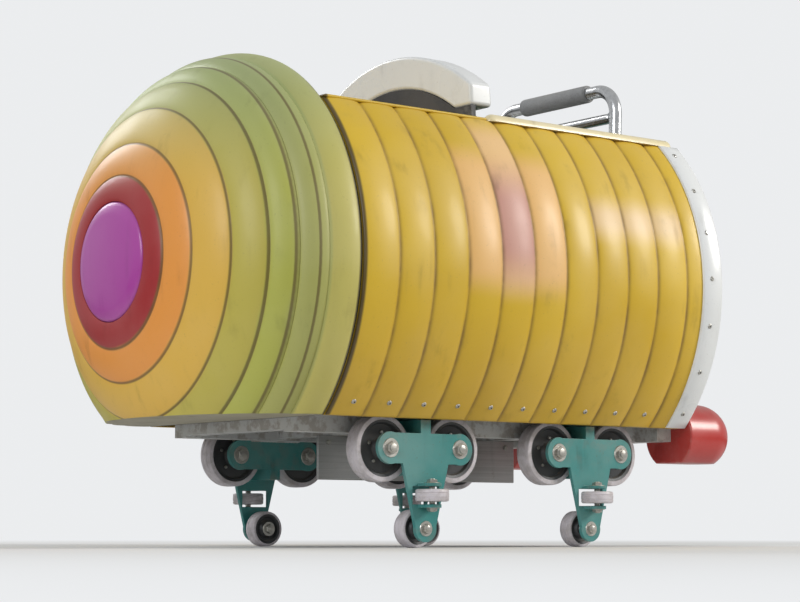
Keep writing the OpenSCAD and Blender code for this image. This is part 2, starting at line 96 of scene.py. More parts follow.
# %% Turn a bmesh into a piece
def make_piece(name, bm, body, materials, stands_for=(), sharp=40, turn_out=True):
    """Link a finished bmesh as one piece of the car."""
    if turn_out:
        bmesh.ops.recalc_face_normals(bm, faces=bm.faces)
    mesh = bpy.data.meshes.new(name)
    bm.to_mesh(mesh)
    bm.free()
    return place_mesh(name, mesh, body, materials, stands_for, sharp)


def place_mesh(name, mesh, body, materials, stands_for=(), sharp=40):
    """Make an object of a mesh, give it its materials, shade it, tie it to its body, and hide the nodes
    that it stands for.
    """
    if mesh.materials:
        mesh.materials.clear()
    for material in materials if isinstance(materials, (list, tuple)) else [materials]:
        mesh.materials.append(material)
    mesh.shade_smooth()
    mesh.set_sharp_from_angle(angle=math.radians(sharp))
    piece = bpy.data.objects.new(name, mesh)
    bpy.context.scene.collection.objects.link(piece)
    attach(piece, body)
    if stands_for:
        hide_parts(*stands_for)
    print(f"{name}: {len(mesh.polygons)} faces on {body}")
    return piece


# %% [markdown]
# ## Shapes turned about the body's axis
# The barrel, the tail, the disc and the rim are all turned shapes, as they come from a round mould. A
# closed outline of radius and length is spun once round the axis, its doubles are merged, and then a
# flat plane cuts away what the real part lacks. The cut is closed again with one face.

# %% Spin an outline and cut it flat
def spin_outline(points, steps=144, closed=True):
    """Turn points of (radius, x) about the body's axis into a new bmesh."""
    bm = bmesh.new()
    row = [bm.verts.new((x, 0.0, AXIS_Z + radius)) for radius, x in points]
    ends = row[1:] + row[:1] if closed else row[1:]
    edges = [bm.edges.new(pair) for pair in zip(row, ends)]
    bmesh.ops.spin(bm, geom=row + edges, cent=(0, 0, AXIS_Z), axis=(1, 0, 0),
                   angle=2 * math.pi, steps=steps, use_merge=True)
    bmesh.ops.remove_doubles(bm, verts=bm.verts, dist=1e-5)
    bmesh.ops.dissolve_degenerate(bm, edges=bm.edges, dist=1e-6)
    return bm


def cut_flat(bm, point, outward):
    """Cut away what lies beyond a plane and close the cut."""
    geom = bm.verts[:] + bm.edges[:] + bm.faces[:]
    cut = bmesh.ops.bisect_plane(bm, geom=geom, dist=1e-6, plane_co=point, plane_no=outward,
                                 clear_outer=True)
    rim = [part for part in cut["geom_cut"] if isinstance(part, bmesh.types.BMEdge)]
    bmesh.ops.edgeloop_fill(bm, edges=rim)


def trim_to_body(bm):
    """Cut a turned shape level with the body's open top and open underside."""
    cut_flat(bm, (0, 0, EDGE_Z), (0, 0, 1))
    cut_flat(bm, (0, 0, BELLY_Z), (0, 0, -1))


# %% [markdown]
# ## Solids that only need softer edges
# Many solids of the frame are right in shape, but their edges are sharper than any real plate or
# moulding. A copy is merged, its flat faces are made whole again, and its sharp edges get a small
# round. The highlight along that round is most of what makes a plate look real.

# %% Dress a copy of a solid
def merged_copy(node):
    """Copy a node's loose triangles into a closed bmesh with whole flat faces."""
    bm = bmesh.new()
    bm.from_mesh(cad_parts[node].data)
    bmesh.ops.remove_doubles(bm, verts=bm.verts, dist=2e-5)
    bmesh.ops.dissolve_degenerate(bm, edges=bm.edges, dist=1e-6)
    bmesh.ops.dissolve_limit(bm, angle_limit=math.radians(1.0), verts=bm.verts, edges=bm.edges)
    return bm


def soften(bm, width, segments, angle=32):
    """Round every edge that turns more sharply than an angle."""
    sharp = [edge for edge in bm.edges
             if edge.is_manifold and edge.calc_face_angle(0) > math.radians(angle)]
    bmesh.ops.bevel(bm, geom=sharp, offset=width, offset_type="OFFSET", segments=segments,
                    profile=0.5, affect="EDGES", clamp_overlap=True, material=-1)


def dress(node, body, material, width, segments=2, sharp=35):
    """Stand a copy with rounded edges in for a node."""
    bm = merged_copy(node)
    soften(bm, width, segments)
    even_faces(make_piece(node + "_dressed", bm, body, material, (node,), sharp, turn_out=False))


def even_faces(piece):
    """Shade the large flat faces truly flat, and leave the change of shade to the small rounds."""
    rule = piece.modifiers.new("Even faces", "WEIGHTED_NORMAL")
    rule.keep_sharp = True
    rule.weight = 60


# %% [markdown]
# ## Modifiers made final
# A boolean cut, a voxel remesh or a cloth simulation is a modifier. Its result is read back as a plain
# mesh, so that what is rendered is one fixed shape.

# %% Bake modifiers into a mesh
def baked(piece):
    """Return the mesh of an object as its modifiers leave it."""
    bpy.context.view_layer.update()
    seen = piece.evaluated_get(bpy.context.evaluated_depsgraph_get())
    return bpy.data.meshes.new_from_object(seen)


def cut_with(bm, cutter):
    """Subtract one closed bmesh from another and return what is left."""
    body_mesh = bpy.data.meshes.new("cut_body")
    tool_mesh = bpy.data.meshes.new("cut_tool")
    bm.to_mesh(body_mesh)
    cutter.to_mesh(tool_mesh)
    whole = bpy.data.objects.new("cut_body", body_mesh)
    tool = bpy.data.objects.new("cut_tool", tool_mesh)
    for piece in (whole, tool):
        bpy.context.scene.collection.objects.link(piece)
    rule = whole.modifiers.new("Cut", "BOOLEAN")
    rule.object = tool
    rule.operation = "DIFFERENCE"
    rule.solver = "EXACT"
    result = bmesh.new()
    result.from_mesh(baked(whole))
    for piece in (whole, tool):
        bpy.data.objects.remove(piece)
    bm.free()
    cutter.free()
    return result


# %% [markdown]
# ## Node helpers
# A finish is a small network of nodes. These helpers add a node, set or link its inputs, and give back
# the output, so that each material below reads as a list of what the real finish shows.

# %% Add and link shader nodes
def add(tree, kind, output=0, inputs=None, **settings):
    """Add a node, set its inputs to values or links, and return one of its outputs."""
    made = tree.nodes.new(kind)
    for key, value in settings.items():
        setattr(made, key, value)
    for key, value in (inputs or {}).items():
        if isinstance(value, bpy.types.NodeSocket):
            tree.links.new(value, made.inputs[key])
        else:
            made.inputs[key].default_value = value
    return made.outputs[output]


def calc(tree, operation, first, second=0.0, third=0.0, clamp=False):
    """Do one sum on numbers or sockets."""
    return add(tree, "ShaderNodeMath", inputs={0: first, 1: second, 2: third},
               operation=operation, use_clamp=clamp)


def times(tree, first, *others, clamp=False):
    """Multiply numbers or sockets, one after another."""
    for other in others:
        first = calc(tree, "MULTIPLY", first, other, clamp=clamp)
    return first


def blend_colours(tree, amount, first, second, way="MIX"):
    """Mix two colours by an amount."""
    return add(tree, "ShaderNodeMix", output=2, inputs={0: amount, 6: first, 7: second},
               data_type="RGBA", blend_type=way)


def fit_range(tree, value, low, high, to_low=0.0, to_high=1.0):
    """Spread a value between two limits over a new range, with eased ends."""
    return add(tree, "ShaderNodeMapRange", inputs={0: value, 1: low, 2: high, 3: to_low, 4: to_high},
               interpolation_type="SMOOTHSTEP")


def object_place(tree, scale=(1, 1, 1), centre=(0, 0, 0)):
    """Read the place on the object, moved so that a centre is at zero, then stretched."""
    spot = add(tree, "ShaderNodeTexCoord", output=3)
    back = [-c * s for c, s in zip(centre, scale)]
    return add(tree, "ShaderNodeMapping", inputs={0: spot, 1: back, 3: scale})


def noise(tree, place, scale, detail, roughness=0.55):
    """Soft random pattern from 0 to 1."""
    return add(tree, "ShaderNodeTexNoise", inputs={
        "Vector": place, "Scale": scale, "Detail": detail, "Roughness": roughness})


def new_group(name, takes, gives):
    """Start a node group with named inputs and outputs."""
    tree = bpy.data.node_groups.new(name, "ShaderNodeTree")
    for label, kind, value in takes:
        tree.interface.new_socket(label, in_out="INPUT", socket_type=kind).default_value = value
    for label, kind in gives:
        tree.interface.new_socket(label, in_out="OUTPUT", socket_type=kind)
    return tree, tree.nodes.new("NodeGroupInput").outputs, tree.nodes.new("NodeGroupOutput").inputs


def use_group(tree, group, **inputs):
    """Place a node group in a material and return all its outputs."""
    made = tree.nodes.new("ShaderNodeGroup")
    made.node_tree = group
    for key, value in inputs.items():
        if isinstance(value, bpy.types.NodeSocket):
            tree.links.new(value, made.inputs[key])
        else:
            made.inputs[key].default_value = value
    return made.outputs


NUMBER = "NodeSocketFloat"
COLOUR = "NodeSocketColor"
PLAIN_GREY = (0.8, 0.8, 0.8, 1)

# %% [markdown]
# ## Outdoor ageing
# A ride stands outside for years. The sun chalks its paint in broad clouds, rain draws thin streaks
# down its sides, and the gloss is uneven where hands and cloths have been. One group does all three
# and every painted or moulded finish uses it with its own strengths.

# %% Build the outdoor ageing group
ageing, takes, gives = new_group(
    "Outdoor ageing",
    [("Colour", COLOUR, PLAIN_GREY), ("Fade", NUMBER, 0.3), ("Grime", NUMBER, 0.3),
     ("Gloss", NUMBER, 0.3), ("Grain", NUMBER, 0.3)],
    [("Colour", COLOUR), ("Roughness", NUMBER), ("Height", NUMBER)])
cloud = fit_range(ageing, noise(ageing, object_place(ageing), 4.5, 4), 0.35, 0.72)
faded = times(ageing, cloud, takes["Fade"], 0.35)
chalk = blend_colours(ageing, faded, takes["Colour"], (0.93, 0.90, 0.84, 1))
streak = fit_range(ageing, noise(ageing, object_place(ageing, (26, 26, 1.6)), 1.0, 4), 0.50, 0.76)
blotch = fit_range(ageing, noise(ageing, object_place(ageing), 11.0, 5), 0.42, 0.75)
runs = times(ageing, streak, blotch, takes["Grime"], clamp=True)
dirty = blend_colours(ageing, runs, chalk, (0.13, 0.10, 0.07, 1), "MULTIPLY")
speck = fit_range(ageing, noise(ageing, object_place(ageing), 190.0, 2), 0.63, 0.78)
spots = times(ageing, speck, times(ageing, takes["Grime"], 0.5))
specked = blend_colours(ageing, spots, dirty, (0.10, 0.08, 0.06, 1))
ageing.links.new(specked, gives["Colour"])
uneven = calc(ageing, "MULTIPLY_ADD", cloud, 0.14, takes["Gloss"])
ageing.links.new(calc(ageing, "MULTIPLY_ADD", runs, 0.30, uneven, clamp=True), gives["Roughness"])
peel = noise(ageing, object_place(ageing), 140.0, 2)
wave = noise(ageing, object_place(ageing), 16.0, 1)
relief = times(ageing, calc(ageing, "MULTIPLY_ADD", peel, 0.35, wave), takes["Grain"])
ageing.links.new(relief, gives["Height"])
print(ageing.name, "has", len(ageing.nodes), "nodes")

# %% [markdown]
# ## Worn edges and dust
# Paint goes first where shoes, hands and spanners meet an edge, and it goes in patches. Pointiness
# tells the shader where the surface turns a corner, and a noise breaks the line up. Dust settles on
# what faces up. Both are groups, because steel and moulded parts share them.

# %% Build the edge wear and dust groups
NORMAL, POINTINESS = 1, 7
wear, takes, gives = new_group(
    "Worn edges",
    [("Colour", COLOUR, PLAIN_GREY), ("Under", COLOUR, (0.4, 0.4, 0.4, 1)), ("Amount", NUMBER, 0.5)],
    [("Colour", COLOUR), ("Mask", NUMBER)])
corner = fit_range(wear, add(wear, "ShaderNodeNewGeometry", output=POINTINESS), 0.52, 0.60)
patch = fit_range(wear, noise(wear, object_place(wear), 34.0, 6, 0.65), 0.46, 0.60)
chip = times(wear, corner, patch, takes["Amount"], clamp=True)
wear.links.new(blend_colours(wear, chip, takes["Colour"], takes["Under"]), gives["Colour"])
wear.links.new(chip, gives["Mask"])

dust, takes, gives = new_group(
    "Settled dust",
    [("Colour", COLOUR, PLAIN_GREY), ("Amount", NUMBER, 0.3)],
    [("Colour", COLOUR), ("Mask", NUMBER)])
outward = add(dust, "ShaderNodeNewGeometry", output=NORMAL)
facing = add(dust, "ShaderNodeSeparateXYZ", output=2, inputs={0: outward})
upward = fit_range(dust, facing, 0.35, 0.95)
cloudy = fit_range(dust, noise(dust, object_place(dust), 22.0, 5, 0.6), 0.25, 0.75)
film = times(dust, upward, cloudy, takes["Amount"], clamp=True)
dust.links.new(blend_colours(dust, film, takes["Colour"], (0.48, 0.43, 0.35, 1)), gives["Colour"])
dust.links.new(film, gives["Mask"])
print(wear.name, "and", dust.name, "are ready")

# %% [markdown]
# ## A painted or moulded finish
# Gel coat, paint and hard plastic differ in colour, gloss, grain and wear, not in kind. One function
# builds them all: colour, then ageing, then worn edges, then dust, and a bump for the surface.

# %% Build a finish from the groups
def start_material(name):
    """New node material: its tree and its Principled shader."""
    material = bpy.data.materials.new(name)
    material.use_nodes = True
    tree = material.node_tree
    shader = tree.nodes["Principled BSDF"]
    return material, tree, shader


def finish_surface(tree, shader, colour, gloss, fade=0.3, grime=0.3, grain=0.3, worn=0.0,
                   under=(0.35, 0.33, 0.30, 1), dusty=0.2, bump=0.0006, coat=0.0, metal=0.0):
    """Lead a colour through ageing, wear and dust into a shader."""
    aged = use_group(tree, ageing, Colour=colour, Fade=fade, Grime=grime, Gloss=gloss, Grain=grain)
    worn_edges = use_group(tree, wear, Colour=aged["Colour"], Under=under, Amount=worn)
    dusted = use_group(tree, dust, Colour=worn_edges["Colour"], Amount=dusty)
    tree.links.new(dusted["Colour"], shader.inputs["Base Color"])
    rough = calc(tree, "MULTIPLY_ADD", dusted["Mask"], 0.35, aged["Roughness"], clamp=True)
    tree.links.new(rough, shader.inputs["Roughness"])
    shader.inputs["Metallic"].default_value = metal
    shader.inputs["Coat Weight"].default_value = coat
    shader.inputs["Coat Roughness"].default_value = 0.18
    height = calc(tree, "SUBTRACT", aged["Height"], times(tree, worn_edges["Mask"], 0.3))
    normal = add(tree, "ShaderNodeBump", inputs={"Height": height, "Distance": bump, "Strength": 0.8})
    tree.links.new(normal, shader.inputs["Normal"])


def plain_finish(name, colour, gloss, **how):
    """Finish of one base colour."""
    material, tree, shader = start_material(name)
    finish_surface(tree, shader, (*colour, 1), gloss, **how)
    return material


white_gelcoat = plain_finish("White gel coat", (0.82, 0.84, 0.84), 0.24, fade=0.15, grime=0.35, coat=0.4,
                             dusty=0.10)
cream_gelcoat = plain_finish("Cream gel coat", (0.83, 0.72, 0.42), 0.30, fade=0.5, grime=0.45, coat=0.25)
teal_gelcoat = plain_finish("Teal gel coat", (0.040, 0.29, 0.255), 0.28, fade=0.14, grime=0.6, grain=0.5,
                            coat=0.3)
purple_gelcoat = plain_finish("Purple gel coat", (0.45, 0.065, 0.37), 0.30, fade=0.10, grime=0.25, coat=0.2)
joint_black = plain_finish("Joint black", (0.030, 0.030, 0.030), 0.65, fade=0.2, grime=0.2, dusty=0.3)
seat_plastic = plain_finish("Moulded seat plastic", (0.030, 0.030, 0.033), 0.50, fade=0.12, grime=0.2,
                            grain=1.0, worn=0.5, under=(0.16, 0.16, 0.16, 1), bump=0.0009)
grey_paint = plain_finish("Light grey chassis paint", (0.56, 0.57, 0.56), 0.42, fade=0.2, grime=0.45,
                          worn=0.5, under=(0.22, 0.17, 0.13, 1), dusty=0.3)
teal_paint = plain_finish("Teal bogie paint", (0.030, 0.235, 0.225), 0.36, fade=0.25, grime=0.8, worn=0.9,
                          under=(0.24, 0.20, 0.17, 1), dusty=0.35)
raw_laminate = plain_finish("Raw glass fibre laminate", (0.34, 0.31, 0.22), 0.60, fade=0.3, grime=0.6,
                            grain=1.0, dusty=0.2, bump=0.0012)
edge_rubber = plain_finish("Black edge rubber", (0.030, 0.030, 0.031), 0.58, fade=0.35, grime=0.2,
                           grain=0.6, dusty=0.35)
print(len(bpy.data.materials), "materials so far")

# %% [markdown]
# ## Yellow body gel coat
# The barrel is golden yellow, painted darker and more orange towards its underside as painted shade.
# Its grooves between the ribs are painted darker by their distance from the axis, as dirt and painted
# shade together. On its sides three ribs are sprayed peach and mauve over a part of their height, and
# the ribs near the front have a pale blush. A table gives the ribs, the heights over the axis, the
# softness of the upper and lower edge, the strength and the colour. Along the joint with the tail the
# first few millimetres of both skins are painted dark, as a stain of wiped sealant and painted shade.

# %% Mask helpers for painted fields
def radius_from_axis(tree):
    """Distance of the surface from the body's axis."""
    spot = object_place(tree, (0, 1, 1), (0, 0, AXIS_Z))
    return add(tree, "ShaderNodeVectorMath", output=1, inputs={0: spot}, operation="LENGTH")


def split_place(tree, centre):
    """The three coordinates of the surface, measured from a centre."""
    place = object_place(tree, (1, 1, 1), centre)
    return add(tree, "ShaderNodeSeparateXYZ", inputs={0: place}).node.outputs


def soft_field(tree, value, low, high, edge):
    """1 between two limits and 0 outside them, with a soft edge."""
    rise = fit_range(tree, value, low - edge, low + edge)
    fall = fit_range(tree, value, high - edge, high + edge, 1.0, 0.0)
    return times(tree, rise, fall)


# %% Yellow gel coat with painted ribs
# The dark band beside the joint with the tail is a sealant stain and painted shade between the two parts.
SEALANT_AND_SHADE_REACH = JOINT_T / 2 + 0.006
SEALANT_AND_SHADE_COLOUR = (0.05, 0.035, 0.015, 1)
PAINTED_RIBS = [
    # first, last, low, high, edge, strength, colour
    (3, 4, -0.050, 0.270, 0.040, 0.80, (0.86, 0.50, 0.20)),
    (4, 5, -0.060, 0.350, 0.040, 0.85, (0.88, 0.56, 0.27)),
    (5, 6, -0.050, 0.270, 0.040, 0.80, (0.86, 0.50, 0.20)),
    (4, 5, -0.020, 0.220, 0.070, 0.85, (0.54, 0.25, 0.23)),
    (7, 10, 0.100, 0.180, 0.035, 0.50, (0.90, 0.66, 0.50)),
]
yellow_gelcoat, tree, shader = start_material("Yellow body gel coat")
along, _, height = split_place(tree, (JOINT_X, 0, AXIS_Z))
drift = fit_range(tree, noise(tree, object_place(tree), 3.0, 2), 0.3, 0.7)
yellow = blend_colours(tree, drift, (0.64, 0.415, 0.018, 1), (0.72, 0.48, 0.027, 1))
# Painted shade: the barrel turns darker and more orange towards its underside.
low_side_shade = fit_range(tree, height, 0.05, -0.34)
yellow = blend_colours(tree, times(tree, low_side_shade, 0.30), yellow, (0.57, 0.30, 0.020, 1))
outside = fit_range(tree, radius_from_axis(tree), GROOVE_R - 0.004, GROOVE_R - 0.001)
rib_at = calc(tree, "DIVIDE", calc(tree, "SUBTRACT", along, BODY_BACK - JOINT_X), RIB_PITCH)
for first_rib, last_rib, low, high, edge, strength, colour in PAINTED_RIBS:
    field = times(tree, soft_field(tree, rib_at, first_rib, last_rib, 0.012),
                  soft_field(tree, height, low, high, edge))
    painted = times(tree, outside, strength)
    cover = times(tree, field, painted)
    yellow = blend_colours(tree, cover, yellow, (*colour, 1))
# Dirt and painted shade: the grooves between the ribs are painted darker.
in_groove = soft_field(tree, radius_from_axis(tree), GROOVE_R, GROOVE_R + 0.0035, 0.002)
groove_dirt_and_shade = times(tree, in_groove,
                    fit_range(tree, noise(tree, object_place(tree), 14.0, 4), 0.2, 0.75, 0.30, 0.80))
yellow = blend_colours(tree, groove_dirt_and_shade, yellow, (0.23, 0.13, 0.03, 1))
# Sealant stain and painted shade along the joint with the tail.
sealed_and_shaded = fit_range(tree, along, SEALANT_AND_SHADE_REACH + 0.004, SEALANT_AND_SHADE_REACH - 0.002, 0.0, 0.85)
yellow = blend_colours(tree, times(tree, sealed_and_shaded, outside), yellow, SEALANT_AND_SHADE_COLOUR)
finish_surface(tree, shader, yellow, 0.43, fade=0.10, grime=0.35, grain=0.35, coat=0.06, dusty=0.10)
print(yellow_gelcoat.name, "has", len(tree.nodes), "nodes")

# %% [markdown]
# ## Striped tail
# The tail's colours are rings about the axis: a purple middle, a dark red ring, orange, amber, ochre
# green, olive green, grey olive and a pale olive ring beside the joint. A colour ramp reads the distance
# from the axis, with two stops close together at every edge for the slightly soft edge of sprayed paint.
# The last ring hardly changes its distance, so its colour starts by its place along the tail; its pale
# olive is partly a painted highlight. A thin dark line of dirt and painted shade lies in every groove
# between two rings, and the upper side is painted a cool grey green as a painted reflection of the sky.

# %% Tail stripes from a colour ramp
TAIL_SHARES = (1.0, 0.975, 0.92, 0.84, 0.71, 0.54, 0.39, 0.27)
RING_COLOURS = (  # from the middle outwards
    (0.38, 0.026, 0.028), (0.87, 0.34, 0.060), (0.78, 0.48, 0.075),
    (0.54, 0.46, 0.080), (0.46, 0.47, 0.085), (0.42, 0.42, 0.120))
SPRAY_EDGE = 0.008
LAST_RING_FROM = 0.078
tail_gelcoat, tree, shader = start_material("Striped tail gel coat")
share = calc(tree, "DIVIDE", radius_from_axis(tree), GROOVE_R)
wobble = times(tree, calc(tree, "SUBTRACT", noise(tree, object_place(tree), 9.0, 2), 0.5), 0.020)
ramp_out = add(tree, "ShaderNodeValToRGB", inputs={0: calc(tree, "ADD", share, wobble)})
ramp = ramp_out.node.color_ramp
ramp.elements[0].position = 0.0
ramp.elements[0].color = (*RING_COLOURS[0], 1)
ramp.elements[1].position = 1.0
ramp.elements[1].color = (*RING_COLOURS[-1], 1)
for at, before, colour in zip(TAIL_SHARES[-2:1:-1], RING_COLOURS, RING_COLOURS[1:]):
    ramp.elements.new(at - SPRAY_EDGE).color = (*before, 1)
    ramp.elements.new(at + SPRAY_EDGE).color = (*colour, 1)
groove_lines = None
# Dirt and painted shade: a thin dark line in every groove between two rings.
for at in TAIL_SHARES[1:-1]:
    from_groove = calc(tree, "ABSOLUTE", calc(tree, "SUBTRACT", share, at))
    near = fit_range(tree, from_groove, 0.0030 + 0.013 * (1 - at), 0.0009)
    groove_lines = near if groove_lines is None else calc(tree, "MAXIMUM", groove_lines, near)
along, _, height = split_place(tree, (JOINT_X, 0, AXIS_Z))
# The last ring's pale olive is partly a painted highlight.
last_ring = fit_range(tree, along, -LAST_RING_FROM - 0.003, -LAST_RING_FROM + 0.003)
rings = blend_colours(tree, last_ring, ramp_out, (0.56, 0.50, 0.13, 1))
# Painted reflection of the sky: the upper side turns a cool grey green.
painted_sky_reflection = fit_range(tree, height, 0.12, 0.50, 0.0, 0.72)
rings = blend_colours(tree, painted_sky_reflection, rings, (0.33, 0.41, 0.18, 1))
stripes = blend_colours(tree, times(tree, groove_lines, 0.78), rings, (0.12, 0.08, 0.02, 1))
# Sealant stain and painted shade beside the joint with the barrel.
sealed_and_shaded = fit_range(tree, along, -SEALANT_AND_SHADE_REACH - 0.004, -SEALANT_AND_SHADE_REACH + 0.002, 0.0, 0.85)
stripes = blend_colours(tree, sealed_and_shaded, stripes, SEALANT_AND_SHADE_COLOUR)
finish_surface(tree, shader, stripes, 0.44, fade=0.10, grime=0.30, grain=0.35, coat=0.05, dusty=0.08)
print(tail_gelcoat.name, "has", len(ramp.elements), "stops")

# %% [markdown]
# ## Red feet, steel and treads
# The feet are glossy red with scuffs at the toes. Steel parts are zinc plated or brushed, with fine
# lines and some rust-brown dirt. The wheels have pale polyurethane treads that rails have darkened.

# %% Red feet, steel and wheel materials
red_gelcoat = plain_finish("Red gel coat", (0.47, 0.028, 0.022), 0.30, fade=0.10, grime=0.55, grain=0.5,
                           worn=0.6, under=(0.62, 0.42, 0.36, 1), dusty=0.25, coat=0.35)


def steel_finish(name, colour, gloss, lines, grime, rust):
    """Bare metal with brushed lines, dirt and a little rust."""
    material, tree, shader = start_material(name)
    brushed = noise(tree, object_place(tree, lines), 1.0, 3)
    shade = blend_colours(tree, fit_range(tree, brushed, 0.3, 0.7, 0.0, 0.5), (*colour, 1),
                          tuple(0.62 * c for c in colour) + (1,))
    spots = fit_range(tree, noise(tree, object_place(tree), 45.0, 6, 0.7), 0.60, 0.72)
    shade = blend_colours(tree, times(tree, spots, rust), shade, (0.17, 0.075, 0.03, 1))
    finish_surface(tree, shader, shade, gloss, fade=0.0, grime=grime, grain=0.4, dusty=0.25,
                   bump=0.0003, metal=0.9)
    return material


bar_steel = steel_finish("Polished bar steel", (0.66, 0.67, 0.68), 0.22, (60, 60, 60), 0.15, 0.10)
zinc_steel = steel_finish("Zinc plated steel", (0.52, 0.51, 0.47), 0.34, (40, 40, 200), 0.5, 0.45)
fin_steel = steel_finish("Brushed fin steel", (0.50, 0.50, 0.49), 0.30, (3, 80, 240), 0.5, 0.30)
hub_steel = plain_finish("Dark wheel hub", (0.055, 0.058, 0.062), 0.42, fade=0.1, grime=0.5, worn=0.8,
                         under=(0.33, 0.32, 0.30, 1), dusty=0.35, metal=0.3)

tread_plastic, tree, shader = start_material("Polyurethane tread")
stain = fit_range(tree, noise(tree, object_place(tree), 30.0, 5, 0.65), 0.35, 0.70)
tread = blend_colours(tree, times(tree, stain, 0.55), (0.66, 0.62, 0.66, 1), (0.30, 0.27, 0.25, 1))
finish_surface(tree, shader, tread, 0.40, fade=0.1, grime=0.5, grain=0.5, dusty=0.2)
print(len(bpy.data.materials), "materials so far")

# %% [markdown]
# ## Vinyl, foam and floor
# The cushions are black marine vinyl: a fine pebbled grain, a slight sheen, and a row of stitches on
# each side of every channel. The grain is a cell pattern, because real grain is cells with creases
# between them. A stitch row is a thin line at a set distance from the nearest channel, broken into dashes
# by a wave. The sleeve is foam with a pitted skin, and the floor mat is ribbed rubber with shoe dust.

# %% Vinyl, foam and floor materials
CHANNEL_GAP = 0.075
STITCH_GAP = 0.0075


def stitch_mask(tree):
    """1 on the thread of two stitch rows beside every channel."""
    along, across, height = split_place(tree, (0, 0, 0))
    from_channel = calc(tree, "PINGPONG", across, CHANNEL_GAP / 2)
    row = soft_field(tree, from_channel, 0.0068, 0.0078, 0.0003)
    wave = calc(tree, "SINE", times(tree, calc(tree, "ADD", along, height), 2 * math.pi / STITCH_GAP))
    return times(tree, row, fit_range(tree, wave, -0.45, -0.10))


def grained_finish(name, colour, gloss, cells, depth, stitched=False, **how):
    """Soft or moulded skin with a grain of cells."""
    material, tree, shader = start_material(name)
    cell = add(tree, "ShaderNodeTexVoronoi", inputs={
        "Vector": object_place(tree), "Scale": cells, "Randomness": 0.9}, feature="DISTANCE_TO_EDGE")
    crease = fit_range(tree, cell, 0.0, 0.16)
    # Painted shade: the creases between the grain's cells are painted darker.
    shade = blend_colours(tree, crease, tuple(0.55 * c for c in colour) + (1,), (*colour, 1))
    height = crease
    if stitched:
        thread = stitch_mask(tree)
        shade = blend_colours(tree, thread, shade, (0.16, 0.16, 0.165, 1))
        height = calc(tree, "MULTIPLY_ADD", thread, 1.6, crease)
    finish_surface(tree, shader, shade, gloss, **how)
    first = shader.inputs["Normal"].links[0].from_socket
    normal = add(tree, "ShaderNodeBump", inputs={"Height": height, "Distance": depth, "Strength": 0.7,
                                                 "Normal": first})
    tree.links.new(normal, shader.inputs["Normal"])
    shader.inputs["Sheen Weight"].default_value = 0.08
    return material


vinyl = grained_finish("Black marine vinyl", (0.026, 0.026, 0.028), 0.40, 420.0, 0.0005, stitched=True,
                       fade=0.05, grime=0.10, grain=0.5, dusty=0.12)
foam = grained_finish("Grey foam sleeve", (0.36, 0.365, 0.37), 0.72, 520.0, 0.0006,
                      fade=0.4, grime=0.4, grain=0.5, dusty=0.2)
floor_mat = grained_finish("Ribbed floor mat", (0.075, 0.077, 0.080), 0.62, 260.0, 0.0005,
                           fade=0.4, grime=0.6, grain=0.5, dusty=0.6)
print(len(bpy.data.materials), "materials in all")

# %% [markdown]
# ## Camera, floor and light
# The photograph looks up at the car from behind and to its right, so the camera stands at floor level
# there. A long lens keeps the car's lines nearly parallel. The floor is plain and pale, and far from
# the car it turns into the backdrop, so that no horizon shows. The world is white only for the camera,
# which gives a bright background while the light stays at a plain level. Reflections see it a little
# brighter than the light that it gives.

# %% Place the camera
centre = (cad_bounds[0] + cad_bounds[1]) / 2
CAMERA_FAR = 5.6
CAMERA_UP = 0.04
CAMERA_BACK, CAMERA_RIGHT = 0.616, 0.788
CAMERA_LENS = 99.0
camera_data = bpy.data.cameras.new("Camera")
camera = bpy.data.objects.new("Camera", camera_data)
bpy.context.scene.collection.objects.link(camera)
spot = Vector((centre.x - CAMERA_BACK * CAMERA_FAR, centre.y - CAMERA_RIGHT * CAMERA_FAR, CAMERA_UP))
target = Vector((centre.x + 0.02, centre.y, centre.z))
camera.location = spot
camera.rotation_euler = (target - spot).to_track_quat("-Z", "Y").to_euler()
camera_data.lens = CAMERA_LENS
camera_data.clip_end = 200.0
bpy.context.scene.camera = camera
print("camera at", [round(c, 2) for c in spot])

# %% Lay the floor and set the lights
BACKDROP = 0.86
DAYLIGHT = 0.40
SKY = (0.97, 0.985, 1.0)
BLACK = (0.0, 0.0, 0.0, 1)
CAMERA_RAY, GLOSSY_RAY = 0, 3
floor_mesh = bpy.data.meshes.new("studio_floor")
bm = bmesh.new()
bmesh.ops.create_grid(bm, x_segments=1, y_segments=1, size=90)
bm.to_mesh(floor_mesh)
bm.free()
studio_floor = bpy.data.objects.new("studio_floor", floor_mesh)
bpy.context.scene.collection.objects.link(studio_floor)
floor_material, tree, shader = start_material("Pale studio floor")
far_off = add(tree, "ShaderNodeVectorMath", output=1, inputs={0: object_place(tree)}, operation="LENGTH")
far_off = fit_range(tree, far_off, 1.3, 4.5)
near_grey = blend_colours(tree, far_off, (0.74, 0.74, 0.735, 1), BLACK)
tree.links.new(near_grey, shader.inputs["Base Color"])
shader.inputs["Roughness"].default_value = 0.9
shader.inputs["Specular IOR Level"].default_value = 0.0
seen = add(tree, "ShaderNodeLightPath", output=CAMERA_RAY)
glow = times(tree, far_off, seen)
far_white = blend_colours(tree, glow, BLACK, (*(part * BACKDROP for part in SKY), 1))
tree.links.new(far_white, shader.inputs["Emission Color"])
shader.inputs["Emission Strength"].default_value = 1.0
floor_mesh.materials.append(floor_material)

world = bpy.data.worlds.new("Studio")
world.use_nodes = True
bpy.context.scene.world = world
tree = world.node_tree
tree.nodes["Background"].inputs["Color"].default_value = (*SKY, 1)
seen = add(tree, "ShaderNodeLightPath", output=CAMERA_RAY)
gloss = add(tree, "ShaderNodeLightPath", output=GLOSSY_RAY)
strength = calc(tree, "MULTIPLY_ADD", seen, BACKDROP - DAYLIGHT, DAYLIGHT)
strength = calc(tree, "MULTIPLY_ADD", gloss, 0.12, strength)
tree.links.new(strength, tree.nodes["Background"].inputs["Strength"])


